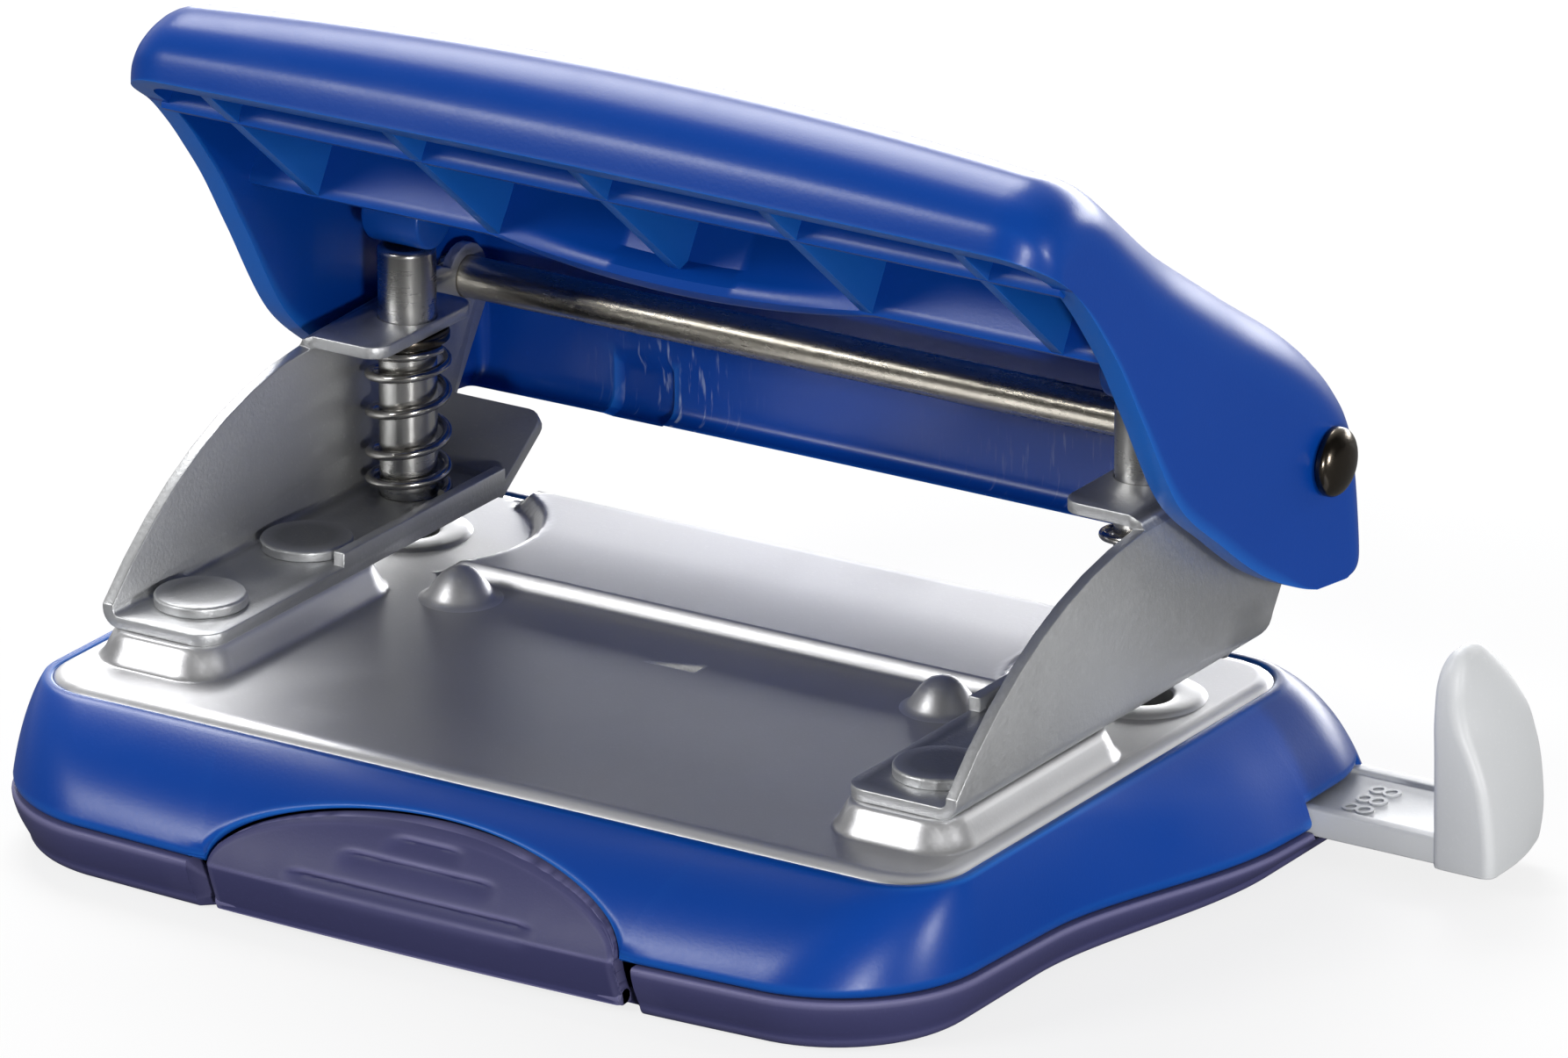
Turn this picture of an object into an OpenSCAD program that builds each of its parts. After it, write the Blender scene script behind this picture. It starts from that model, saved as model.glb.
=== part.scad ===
// Desk punch for file holes: a sheet steel throat on a moulded base, two spring-loaded punches,
// a hollow pressing lever on a cross rod, a sliding paper guide and a chip flap.
// Millimetres. The origin lies on the table midway between the two punches.
// +X points to the side the paper guide slides out of, -Y to the user, +Z up.

/* [Punches] */
// Distance between the two punch axes
hole_spacing = 80; // [72:1:100]
// Diameter of a punch
punch_d = 5.5; // [4.5:0.1:6]
// Height of a punch above its bracket tab
punch_proud = 7; // [6.6:0.1:10]
// Turned rim at the top of a punch, across its chamfer
punch_chamfer = 0.5; // [0.2:0.1:0.8]
// Depth of the hollow in a punch's cutting end
punch_hollow = 0.6; // [0.3:0.1:1]
// Depth of the groove that holds the retaining ring
ring_groove = 0.4; // [0.2:0.1:0.8]
// Thickness of a retaining ring
ring_t = 0.9; // [0.6:0.1:1.4]
// Width of a retaining ring from its bore to its rim
ring_band = 1.6; // [1.2:0.1:1.8]
// Mouth of the retaining ring
ring_mouth = 3.6; // [2:0.1:4]
// Running clearance of a turned piece in its hole, on the radius
run_gap = 0.05; // [0.02:0.01:0.1]
// Clearance between flat faces that slide or lie beside each other
face_gap = 0.1; // [0.05:0.05:0.3]

/* [Springs] */
// Outside diameter of a return spring
spring_d = 8.2; // [7.6:0.1:8.6]
// Diameter of the spring wire
wire_d = 0.9; // [0.6:0.05:1]
// Turns of a return spring
spring_turns = 5; // [3:1:6]
// How much closer the end turns lie than the middle ones
spring_close = 0.45; // [0:0.05:0.5]

/* [Plate] */
// Height of the plate's floor above the table
deck_z = 14.5; // [12.5:0.5:20]
// Thickness of the pressed plate
plate_t = 1.2; // [0.8:0.1:2]
// Width of the plate
plate_w = 96.4; // [96:0.2:100]
// Reach of the plate in front of the punches
plate_front = 50.2; // [48:0.2:54]
// Reach of the plate behind the punches
plate_rear = 14; // [13:0.2:17]
// Corner radius of the plate
plate_corner = 6; // [4:0.5:9]
// Width of the plate's rolled edge
roll_w = 1.8; // [1:0.1:2.4]
// Height of the paper gap, which is also the height of the pads under the brackets
paper_gap = 2.7; // [2.2:0.1:4]
// Overhang of a pad in front of its bracket
pad_front = 2.2; // [1:0.1:3]
// How far behind the front of its bracket a pad ends
pad_len = 29.6; // [27:0.2:32]
// Slope run of a pad's sides
pad_slope = 1.4; // [0.5:0.1:2]
// Overhang of a pad past its bracket's inner edge
pad_in = 1.3; // [0.8:0.1:2.4]
// Overhang of a pad past its bracket's wall
pad_out = 0.9; // [0.5:0.1:1.1]
// Height of the raised rear platform between the dies
platform_h = 1.4; // [0.8:0.1:1.8]
// Distance of the platform's front edge in front of the punches
platform_front = 7.4; // [5:0.2:9]
// Radius of the round recess in the platform about each die
die_clear_r = 12.6; // [9:0.2:16]
// Radius of the embossed ring about each die
die_ring_r = 5.6; // [4.5:0.1:6]
// Height of the embossed ring about each die
die_ring_h = 0.25; // [0.1:0.05:0.5]
// Distance of a paper stop inwards of its punch
stop_in = 13.8; // [11:0.2:16]
// Distance of a paper stop in front of its punch
stop_front = 12.1; // [11:0.1:14]
// Diameter of a paper stop
stop_d = 6.2; // [4:0.2:8]
// Height of a paper stop
stop_h = 3; // [2:0.1:4]
// Distance of the centre mark in front of the punches
mark_front = 15.8; // [13:0.2:20]
// Length of the centre mark
mark_len = 4.6; // [2:0.2:8]
// Width of the centre mark
mark_w = 1.7; // [1:0.1:3]
// Depth of the centre mark
mark_depth = 0.3; // [0.1:0.1:0.5]

/* [Brackets] */
// Thickness of the bracket sheet
bracket_t = 1.2; // [0.8:0.1:1.4]
// Distance of a bracket wall's outer face from its punch axis
wall_out = 5.9; // [5.7:0.1:7]
// Distance of the foot's inner edge from the punch axis
foot_in = 6.2; // [5.8:0.1:8]
// Reach of a bracket in front of the punches
bracket_front = 41.6; // [40:0.2:44]
// Reach of a foot behind the punches
foot_rear = 7; // [5:0.2:8]
// Height of the upturned rim on a foot
rim_h = 1.4; // [0.8:0.1:4]
// Distance in front of the punches where the upturned rim starts
rim_front = 20; // [10:0.5:24]
// Rear lip of a foot, measured along its slope
lip_len = 9; // [5:0.2:10]
// Upward slope of the rear lip
lip_tilt = 35; // [20:1:45]
// Height of the upper tab's top above the plate's floor
tab_h = 21.4; // [20:0.2:26]
// Reach of the tab in front of its punch
tab_front = 9.5; // [6:0.5:11]
// Reach of the tab inwards of its punch
tab_in = 3.2; // [3.2:0.1:6]
// Height of the wall's front edge above the foot
wall_toe = 1; // [0.5:0.1:3]
// Bulge of the wall's front edge ahead of a straight line
wall_bulge = 3.4; // [1:0.2:5]
// Radius of the wall's ear about the cross rod
ear_r = 3.2; // [3:0.1:3.4]
// Diameter of a rivet head
rivet_head_d = 8.7; // [6:0.1:9]
// Height of a rivet head
rivet_head_h = 1.1; // [0.6:0.1:1.6]
// Diameter of a rivet shank
rivet_d = 4; // [3:0.1:4.5]
// Height of the closed end of a rivet under the plate
rivet_tail_h = 0.8; // [0.5:0.1:1.2]
// Distance of the front rivet in front of the punches
rivet_front = 34.5; // [33:0.1:36]
// Distance of the rear rivet in front of the punches
rivet_rear = 17.2; // [16.6:0.1:19]

/* [Cross rod] */
// Diameter of the cross rod
rod_d = 4; // [3:0.1:4.4]
// Distance of the cross rod behind the punches
rod_y = 17.3; // [16.5:0.1:19]
// Height of the cross rod above the plate's floor
rod_h = 19.2; // [18:0.1:21]
// Diameter of the domed cap on a rod end
cap_d = 6.5; // [5.5:0.1:9]
// Height of the domed cap
cap_h = 1.7; // [1.2:0.1:3]
// Depth of the socket in the domed cap
cap_socket = 0.8; // [0.4:0.1:0.9]

/* [Lever] */
// Rest tilt of the lever
lever_tilt = 31; // [29:0.5:33]
// Wall thickness of the lever
lever_wall = 2.2; // [1.6:0.1:2.6]
// Clearance between a bracket wall and the lever's cheek
cheek_gap = 0.4; // [0.3:0.05:0.8]
// Reach of the lever's nose from the rod
nose_u = 63.6; // [61:0.2:72]
// Height of the lever's grip over the rod line
back_w = 13.8; // [13:0.2:16]
// Height of the lever's saddle, behind the grip, over the rod line
saddle_w = 11.6; // [11:0.2:12.6]
// Height of the nose's lower lip over the rod line
lip_w = 2.8; // [2:0.1:4]
// Depth of the cheeks under the rod line
cheek_w = 12.4; // [11:0.2:13]
// Reach of the lever's rear wall behind the rod
tail_u = 13.2; // [12.5:0.1:15]
// Radius of the crowned back across the lever
crown_r = 470; // [300:5:900]
// Radius of the shoulders between the back and the cheeks, and of the front corners
shoulder_r = 6; // [4:0.5:7]
// Radius of the shoulders beside the rod and at the rear wall
heel_r = 3; // [2.6:0.2:4]
// Share of the crown that is left at the rear wall
heel_crown = 0.3; // [0.1:0.1:1]
// Share of the crown that is left at the nose
nose_crown = 0.6; // [0.1:0.1:1]
// Thickness of the stiffening ribs
rib_t = 1.5; // [1:0.1:2]
// Spacing of the ribs that run from the nose to the rod
rib_pitch = 20; // [18:0.5:22]
// Place of the front cross rib from the rod
rib_front_u = 53.5; // [50:0.5:56]
// Place of the rear cross rib from the rod
rib_rear_u = 37; // [34:0.5:40]
// Length of the ribs behind the rear cross rib
rib_tail = 11; // [6:0.5:12]
// Lower edge of the front cross rib over the rod line
rib_front_w = 1.7; // [1:0.1:3]
// Lower edge of the rear cross rib under the rod line
rib_rear_drop = 1; // [0:0.1:2]
// Extra drop of the arched middle of the rear cross rib
arch_drop = 1.8; // [0.5:0.1:3]
// Length of the arched middle
arch_len = 41; // [20:1:60]
// Width of a pressing boss across the lever
boss_w = 6.4; // [4:0.2:7]
// Radius of a pressing boss's rounded nose
boss_r = 3; // [2:0.1:4]
// Clearance between a boss and its punch at rest
boss_gap = 0.1; // [0.05:0.05:0.4]

/* [Base] */
// Half width of the base at its front
base_front_half = 50.6; // [49.6:0.2:56]
// Half width of the base at its rear
base_rear_half = 56; // [54:0.2:60]
// Reach of the base in front of the punches
base_front = 61; // [59:0.5:66]
// Reach of the base behind the punches
base_rear = 22.6; // [21:0.2:26]
// Corner radius of the base at its front
base_corner = 15; // [10:0.5:18]
// Corner radius of the base at its rear
base_heel = 12; // [8:0.5:14]
// Forward bow of the base's front edge
base_bow = 1; // [0:0.1:3]
// Height of the parting line at the front
part_front_z = 5.3; // [4.8:0.1:7]
// Height of the parting line at the rear
part_rear_z = 2.9; // [2.6:0.1:3.4]
// Wall thickness of the base
base_wall = 2; // [1.6:0.1:2.2]
// Height of the housing's rim below the plate's floor
rim_drop = 0.4; // [0.2:0.1:0.8]
// Width of the housing's flat rim round the plate
rim_lip = 0.9; // [0.5:0.1:1.5]
// Width of the ledge that carries the plate
ledge_w = 2.4; // [1.5:0.1:3]
// Thickness of the ledge that carries the plate
ledge_t = 1.5; // [1:0.1:2.5]
// Draw-in of the cover's side at its bottom edge
cover_draw = 1.5; // [0.8:0.1:2]
// Rounding of the cover's bottom edge
cover_edge = 1.2; // [0.6:0.1:1.4]
// Floor thickness of the cover
floor_t = 1.5; // [1:0.1:2]

/* [Chip flap] */
// Half width of the half-moon flap
flap_half = 21.8; // [16:0.2:26]
// Height of the flap's crown above the table
flap_top = 11.8; // [10:0.1:12]
// Thickness of the flap
flap_t = 1.8; // [1.2:0.1:2]
// Gap round the flap
flap_gap = 0.35; // [0.3:0.05:0.6]
// Width of the slit at each end of the flap
slit_w = 0.9; // [0.6:0.1:1.5]
// Radius of the flap's hinge roll
knuckle_r = 1.2; // [1:0.05:1.3]
// Diameter of the flap's hinge pins
trunnion_d = 1.2; // [0.8:0.1:1.4]
// Length of the flap's hinge pins
trunnion_len = 1.5; // [1:0.1:2.5]

/* [Paper guide] */
// Width of the guide bar
guide_w = 12.4; // [10:0.2:12.6]
// Thickness of the guide bar
guide_t = 2.6; // [2:0.1:3]
// Distance of the bar's near edge behind the punches
guide_y = 4.2; // [4:0.1:5]
// Height of the bar's underside above the table
guide_z = 2.7; // [2.3:0.1:3.2]
// Length of the guide bar
guide_len = 103; // [92:1:106]
// Setting of the guide: paper edge to the nearer hole
guide_setting = 28.5; // [22:0.5:45]
// Clearance of the bar between its rails
guide_gap = 0.2; // [0.1:0.05:0.3]
// Thickness of a rail beside the bar
rail_t = 1.1; // [0.8:0.1:1.2]
// Width of the raised border on the bar's top
border_w = 1.4; // [0.8:0.1:3]
// Depth of the sunk field on the bar's top
border_h = 0.5; // [0.2:0.1:1]
// Height of the end stop
fin_h = 20.6; // [14:0.2:26]
// Thickness of the end stop at its foot
fin_t = 6; // [4:0.2:9]
// Depth of the end stop from front to rear
fin_depth = 11.6; // [8:0.2:12]
// Depth of the pocket in the end stop for the bar
fin_pocket = 4; // [2:0.2:4]

/* [Hidden] */

// Facets of turned pieces and of outline arcs
$fn = 64;
arc_n = 8;
blue = [0.02, 0.16, 0.58];
violet = [0.24, 0.22, 0.42];
zinc = [0.66, 0.67, 0.68];
steel = [0.6, 0.6, 0.6];
nickel = [0.55, 0.52, 0.47];
pale = [0.72, 0.73, 0.75];
// Overrun of a cut past the face it starts from
over = 1;
// A length beyond every piece, for cuts that run right through
beyond = 200;

punch_x = hole_spacing / 2;
punch_r = punch_d / 2;
hole_r = punch_r + run_gap;
pad_z = deck_z + paper_gap;
foot_z = pad_z + bracket_t;
tab_z = deck_z + tab_h;
tab_under_z = tab_z - bracket_t;
punch_tip_z = pad_z + face_gap;
punch_top_z = tab_z + punch_proud;
ring_z = tab_under_z - face_gap - ring_t;
wall_x = punch_x + wall_out;
foot_x = punch_x - foot_in;
rod_r = rod_d / 2;
rod_z = deck_z + rod_h;
cheek_x = wall_x + cheek_gap;
lever_half = cheek_x + lever_wall;
cap_gap = face_gap * 3;
stop_x = punch_x + guide_setting;

function smooth(t) = t <= 0 ? 0 : t >= 1 ? 1 : t * t * (3 - 2 * t);
function mix(a, b, t) = a + (b - a) * t;
function arc(c, r, a0, a1, n = arc_n) =
    [for (i = [0:n]) let (a = mix(a0, a1, i / n)) c + r * [cos(a), sin(a)]];

// Smooth curve through a list of points, four steps to each span
curve_n = 4;
function bend(a, b, c, d, t) =
    (2 * b + (c - a) * t + (2 * a - 5 * b + 4 * c - d) * t * t + (3 * b - a - 3 * c + d) * t * t * t) / 2;
function curve(p) = let (n = len(p)) concat(
    [for (i = [0:n - 2], k = [0:curve_n - 1])
        bend(p[max(i - 1, 0)], p[i], p[i + 1], p[min(i + 2, n - 1)], k / curve_n)],
    [p[n - 1]]);

function unit(v) = v / norm(v);

// A skin over rings of equal counts, joined end to end or capped. A banded ring runs out along one face
// of a wall and back along the other, so its caps are strips of triangles.
module skin(rings, capped = true, banded = false) {
    m = len(rings[0]);
    n = len(rings);
    spans = capped ? n - 2 : n - 1;
    points = [for (r = rings, p = r) p];
    sides = [for (i = [0:spans], j = [0:m - 1])
        let (k = (i + 1) % n, l = (j + 1) % m) each [
            [i * m + j, k * m + j, k * m + l],
            [i * m + j, k * m + l, i * m + l]]];
    near = banded ? [for (j = [0:m / 2 - 2]) each [[j, j + 1, m - 1 - j], [j + 1, m - 2 - j, m - 1 - j]]]
        : [[for (j = [0:m - 1]) j]];
    far = [for (f = near) [for (k = [len(f) - 1:-1:0]) (n - 1) * m + f[k]]];
    polyhedron(points, concat(sides, capped ? near : [], capped ? far : []), convexity = 8);
}

module mirrored(left) mirror([left ? 1 : 0, 0, 0]) children();

// Extrusion along X of an outline drawn in Y and Z
module along_x(x0, x1) translate([x0, 0, 0]) rotate([90, 0, 90]) linear_extrude(x1 - x0) children();

// Base outline: front edge, corner, flared side, corner and rear edge, then the other half
front_n = 7;
side_n = 10;
rear_n = 3;
flare_y0 = base_corner - bracket_front - base_heel / 2;
flare_y1 = base_rear - 2 * base_heel;
function half_outline(hf, hr, front, rear, r, heel, bow) =
    let (y0 = bow - front + r, y1 = rear - heel) concat(
    [for (i = [0:front_n - 1]) let (x = (hf - r) * i / front_n) [x, -front + bow * pow(i / front_n, 2)]],
    arc([hf - r, y0], r, -90, 0),
    [for (i = [1:side_n - 1]) let (y = mix(y0, y1, i / side_n))
        [mix(hf, hr, smooth((y - flare_y0) / (flare_y1 - flare_y0))), y]],
    arc([hr - heel, y1], heel, 0, 90),
    [for (i = [1:rear_n]) [(hr - heel) * (1 - i / rear_n), rear]]);
function whole(h) = concat(h, [for (i = [len(h) - 2:-1:1]) [-h[i][0], h[i][1]]]);
function plate_outline(d) = whole(half_outline(plate_w / 2 + d, plate_w / 2 + d, plate_front + d,
    plate_rear + d, plate_corner + d, plate_corner + d, 0));
// The plate's own outline, with points at its corners only
function plate_rim(d) =
    let (x = plate_w / 2 - plate_corner, y0 = plate_corner - plate_front, y1 = plate_rear - plate_corner,
        r = plate_corner + d)
    concat(arc([x, y0], r, -90, 0), arc([x, y1], r, 0, 90), arc([-x, y1], r, 90, 180),
        arc([-x, y0], r, 180, 270));
function base_outline(d) = whole(half_outline(base_front_half - d, base_rear_half - d, base_front - d,
    base_rear - d, base_corner - d, base_heel - d, base_bow));
function part_z(y) = mix(part_front_z, part_rear_z, smooth((y + base_front) / (base_front + base_rear)));
function level(outline, z) = [for (p = outline) [p[0], p[1], z]];

// Housing side: s runs from the rim at 0 to the parting line at 1, bulging between
rim_z = deck_z - rim_drop;
function swell(s) = (s + sin(90 * s)) / 2;
function sink(s) = (s + 1 - cos(90 * s)) / 2;
function housing_ring(s, d) =
    let (top = plate_outline(face_gap + rim_lip - d), foot = base_outline(d))
    [for (i = [0:len(top) - 1]) let (p = mix(top[i], foot[i], swell(s)))
        [p[0], p[1], mix(rim_z, part_z(p[1]), sink(s))]];
ledge_z = deck_z - plate_t - roll_w / 2;

// Half-moon outline of the flap seen from the front, grown by d
module half_moon(d) {
    intersection() {
        translate([0, part_front_z])
            scale_moon(flap_half + d, flap_top + d - part_front_z);
        translate([-beyond / 2, 0]) square([beyond, beyond]);
    }
    translate([-flap_half - d, -over]) square([2 * (flap_half + d), part_front_z + over]);
}
moon_n = 32;
module scale_moon(a, b) polygon([for (i = [0:moon_n]) let (t = 180 * i / moon_n) [a * cos(t), b * sin(t)]]);

module base_housing() color(blue) difference() {
    skin([for (s = [1, 0.75, 0.5, 0.25, 0]) housing_ring(s, 0),
        level(plate_outline(face_gap), rim_z),
        level(plate_outline(face_gap), ledge_z),
        level(plate_outline(-ledge_w), ledge_z),
        level(plate_outline(-ledge_w), ledge_z - ledge_t),
        housing_ring(0.5, base_wall),
        housing_ring(1, base_wall)], capped = false);
    translate([0, -plate_front - rim_lip, 0]) rotate([90, 0, 0]) linear_extrude(beyond) half_moon(flap_gap);
    guide_way();
}

// Way for the bar through the right-hand wall
module guide_way() translate([stop_x - guide_len + punch_x, guide_y - guide_gap, guide_z - guide_gap])
    cube([guide_len, guide_w + 2 * guide_gap, guide_t + 2 * guide_gap]);

knuckle_y = -base_front + cover_draw + knuckle_r + face_gap;
knuckle_z = knuckle_r + face_gap;
// End of the blind sockets for the flap's hinge pins
socket_x = flap_half + slit_w + trunnion_len;
function rim_ring(d) = [for (p = base_outline(d)) [p[0], p[1], part_z(p[1]) - face_gap]];

module bottom_cover() color(violet) {
    difference() {
        skin([level(base_outline(cover_draw + cover_edge), 0),
            level(base_outline(cover_draw), cover_edge),
            rim_ring(0),
            rim_ring(base_wall),
            level(base_outline(cover_draw + base_wall), floor_t)]);
        translate([-flap_half - slit_w, -beyond, -over])
            cube([2 * (flap_half + slit_w), beyond + knuckle_y + knuckle_r + flap_gap, beyond]);
        translate([-socket_x, knuckle_y, knuckle_z]) rotate([0, 90, 0])
            cylinder(d = trunnion_d + 2 * run_gap, h = 2 * socket_x);
        guide_way();
    }
    rail_x0 = base_heel / 2 - base_rear_half;
    rail_len = punch_x + wall_out - rail_x0;
    translate([rail_x0, guide_y + border_w, floor_t])
        cube([rail_len, guide_w - 2 * border_w, guide_z - face_gap - floor_t]);
    for (y = [guide_y - guide_gap - rail_t, guide_y + guide_w + guide_gap])
        translate([rail_x0, y, floor_t]) cube([rail_len, rail_t, guide_z + guide_t - floor_t]);
}

// Front skin of the base from the table to the rim, seen from the side at a place x
function front_y(x, d) = -base_front + d + base_bow * pow(x / (base_front_half - base_corner), 2);
function front_point(x, s) = let (top = -plate_front - face_gap - rim_lip, foot = front_y(x, 0),
    y = mix(top, foot, swell(s))) [y, mix(rim_z, part_z(foot), sink(s))];
flap_n = 12;
function flap_column(x) = concat([[front_y(x, cover_draw), cover_edge]],
    [for (s = [1, 0.75, 0.5, 0.25, 0]) front_point(x, s)]);

module flap_skin() {
    half = flap_half + over;
    cols = [for (i = [0:flap_n]) let (x = mix(half, -half, i / flap_n), c = flap_column(x))
        concat([for (p = c) [x, p[0], p[1]]],
            [for (j = [len(c) - 1:-1:0]) [x, c[j][0] + flap_t, c[j][1]]])];
    skin(cols);
}

module chip_flap() color(violet) {
    intersection() {
        flap_skin();
        rotate([90, 0, 0]) linear_extrude(beyond) half_moon(0);
    }
    translate([-flap_half, knuckle_y, knuckle_z]) rotate([0, 90, 0])
        cylinder(r = knuckle_r, h = 2 * flap_half);
    translate([face_gap - socket_x, knuckle_y, knuckle_z]) rotate([0, 90, 0])
        cylinder(d = trunnion_d, h = 2 * (socket_x - face_gap));
}

// Frustum of a pressed pad, from its footprint up
module frustum(x0, x1, y0, y1, z0, h, run) skin([
    [[x0, y0, z0], [x1, y0, z0], [x1, y1, z0], [x0, y1, z0]],
    [[x0 + run, y0 + run, z0 + h], [x1 - run, y0 + run, z0 + h], [x1 - run, y1 - run, z0 + h],
        [x0 + run, y1 - run, z0 + h]]]);

pad_x0 = foot_x - pad_in;
pad_x1 = wall_x + pad_out;
pad_y0 = -bracket_front - pad_front;
pad_y1 = -bracket_front + pad_len;
rivet_x = punch_x + (wall_out - bracket_t - foot_in) / 2 + bracket_t / 2;
module rivet_places() for (x = [-rivet_x, rivet_x], y = [-rivet_front, -rivet_rear])
    translate([x, y, 0]) children();

module base_plate() color(steel) difference() {
    union() {
        skin([level(plate_rim(0), ledge_z),
            level(plate_rim(0), deck_z - roll_w / 2),
            level(plate_rim(-roll_w / 3), deck_z - roll_w / 6),
            level(plate_rim(-roll_w), deck_z)]);
        for (left = [true, false]) mirrored(left) {
            frustum(pad_x0, pad_x1, pad_y0, pad_y1, deck_z - face_gap, paper_gap + face_gap, pad_slope);
            translate([punch_x - stop_in, -stop_front, deck_z]) paper_stop();
            translate([punch_x, 0, deck_z - face_gap]) cylinder(r = die_ring_r, h = die_ring_h + face_gap);
        }
        translate([0, 0, deck_z - face_gap]) linear_extrude(platform_h + face_gap) difference() {
            platform_half = punch_x - foot_in;
            translate([-platform_half, -platform_front])
                square([2 * platform_half, platform_front + plate_rear - roll_w]);
            for (x = [-punch_x, punch_x]) translate([x, 0]) circle(r = die_clear_r);
        }
    }
    hollow_z = deck_z - plate_t;
    translate([0, 0, ledge_z - over]) linear_extrude(hollow_z - ledge_z + over)
        polygon(plate_rim(-ledge_w));
    for (left = [true, false]) mirrored(left) {
        frustum(pad_x0 + plate_t, pad_x1 - plate_t, pad_y0 + plate_t, pad_y1 - plate_t, hollow_z - face_gap,
            paper_gap + face_gap, pad_slope);
        translate([punch_x, 0, 0]) cylinder(r = hole_r, h = pad_z);
    }
    rivet_places() cylinder(d = rivet_d + 2 * run_gap, h = foot_z);
    translate([0, -mark_front, deck_z - mark_depth]) linear_extrude(over)
        polygon([[-mark_len / 2, -mark_w / 2], [mark_len / 2, -mark_w / 2], [mark_len / 2, mark_w / 2]]);
}

// Round cone with a small domed tip
module paper_stop() rotate_extrude() let (r = stop_d / 2, tip = r / 3) polygon(concat(
    [[0, -face_gap], [r, -face_gap], [r, 0], [r * 0.86, stop_h * 0.2], [r * 0.72, stop_h * 0.5]],
    arc([0, stop_h - tip], tip, 35, 90)));

// Wall of a bracket seen from the side: toe, bulged front edge, tab step, rod ear and sloped rear edge
heel_y = foot_rear + lip_len * cos(lip_tilt) * 0.7;
function bulged(a, b, d) = [for (i = [1:arc_n - 1]) let (t = i / arc_n)
    mix(a, b, t) + 4 * d * t * (1 - t) * unit([a[1] - b[1], b[0] - a[0]])];
module wall_outline()
    let (toe = [-bracket_front, foot_z + wall_toe], head = [-tab_front, tab_z - bracket_t])
    polygon(concat(
        [[-bracket_front, pad_z], toe],
        bulged(toe, head, wall_bulge),
        [head, [-tab_front, tab_z], [rod_y - ear_r - bracket_t, tab_z]],
        arc([rod_y, rod_z], ear_r, 150, 0),
        [[rod_y + ear_r, rod_z - ear_r], [heel_y + bracket_t, pad_z + 2 * bracket_t], [heel_y, pad_z]]));

module bracket(left) color(zinc) mirrored(left) difference() {
    union() {
        along_x(wall_x - bracket_t, wall_x) wall_outline();
        translate([foot_x, -bracket_front, pad_z])
            cube([wall_x - foot_x, bracket_front + foot_rear, bracket_t]);
        translate([foot_x, -rim_front, pad_z]) cube([bracket_t, rim_front + foot_rear, bracket_t + rim_h]);
        translate([foot_x, foot_rear, pad_z]) rotate([lip_tilt, 0, 0])
            translate([0, -bracket_t / 2, 0])
                cube([wall_x - foot_x - bracket_t / 2, lip_len + bracket_t / 2, bracket_t]);
        translate([punch_x - tab_in, -tab_front, tab_under_z])
            cube([wall_x - punch_x + tab_in, tab_front + foot_rear, bracket_t]);
    }
    translate([punch_x, 0, pad_z - over]) cylinder(r = hole_r, h = tab_h + 2 * over);
    translate([wall_x - bracket_t - over, rod_y, rod_z]) rotate([0, 90, 0])
        cylinder(r = rod_r + run_gap, h = bracket_t + 2 * over);
    rivet_places() cylinder(d = rivet_d + 2 * run_gap, h = foot_z + over);
}
module left_bracket() bracket(true);
module right_bracket() bracket(false);

module bracket_rivets() color(zinc) rivet_places() {
    translate([0, 0, foot_z]) cylinder(d = rivet_head_d, h = rivet_head_h);
    tail_z = pad_z - plate_t - face_gap;
    translate([0, 0, tail_z]) cylinder(d = rivet_d, h = foot_z - tail_z);
    translate([0, 0, tail_z - rivet_tail_h]) cylinder(d = rivet_d + 2 * rivet_tail_h, h = rivet_tail_h);
}

// A punch: turned rod with a chamfered crown, a ring groove and a hollow cutting end
module punch(left) color(steel) mirrored(left) translate([punch_x, 0, 0]) rotate_extrude() polygon([
    [0, punch_tip_z + punch_hollow], [punch_r, punch_tip_z], [punch_r, ring_z],
    [punch_r - ring_groove, ring_z], [punch_r - ring_groove, ring_z + ring_t], [punch_r, ring_z + ring_t],
    [punch_r, punch_top_z - punch_chamfer], [punch_r - punch_chamfer, punch_top_z], [0, punch_top_z]]);
module left_punch() punch(true);
module right_punch() punch(false);

// Spring steel ring snapped into the punch's groove, open to the rear
module retaining_ring(left) color(nickel) mirrored(left)
    translate([punch_x, 0, ring_z + run_gap / 2]) difference() {
    bore = punch_r - ring_groove + run_gap / 2;
    cylinder(r = bore + ring_band, h = ring_t - run_gap);
    translate([0, 0, -over]) cylinder(r = bore, h = ring_t + 2 * over);
    translate([-ring_mouth / 2, 0, -over]) cube([ring_mouth, spring_d, ring_t + 2 * over]);
}
module left_retaining_ring() retaining_ring(true);
module right_retaining_ring() retaining_ring(false);

// Return spring: one tube along a helix, its ends turned square to the foot and the ring
spring_z0 = foot_z;
spring_z1 = ring_z + run_gap / 2;
coil_r = (spring_d - wire_d) / 2;
wire_sides = 6;
curl_rings = 8;
coil_n = spring_turns * curl_rings;
function coil_z(t) =
    mix(spring_z0 + 2 * wire_d, spring_z1 - 2 * wire_d, t - spring_close * sin(360 * t) / (2 * PI));
function coil_point(t) = let (a = 360 * spring_turns * t) [coil_r * cos(a), coil_r * sin(a), coil_z(t)];
coil_path = concat(
    [[coil_r, 0, spring_z0], [coil_r, 0, spring_z0 + wire_d]],
    [for (i = [1:coil_n - 1]) coil_point(i / coil_n)],
    [[coil_r, 0, spring_z1 - wire_d], [coil_r, 0, spring_z1]]);
function path_dir(p, i) = unit(p[min(i + 1, len(p) - 1)] - p[max(i - 1, 0)]);
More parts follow.
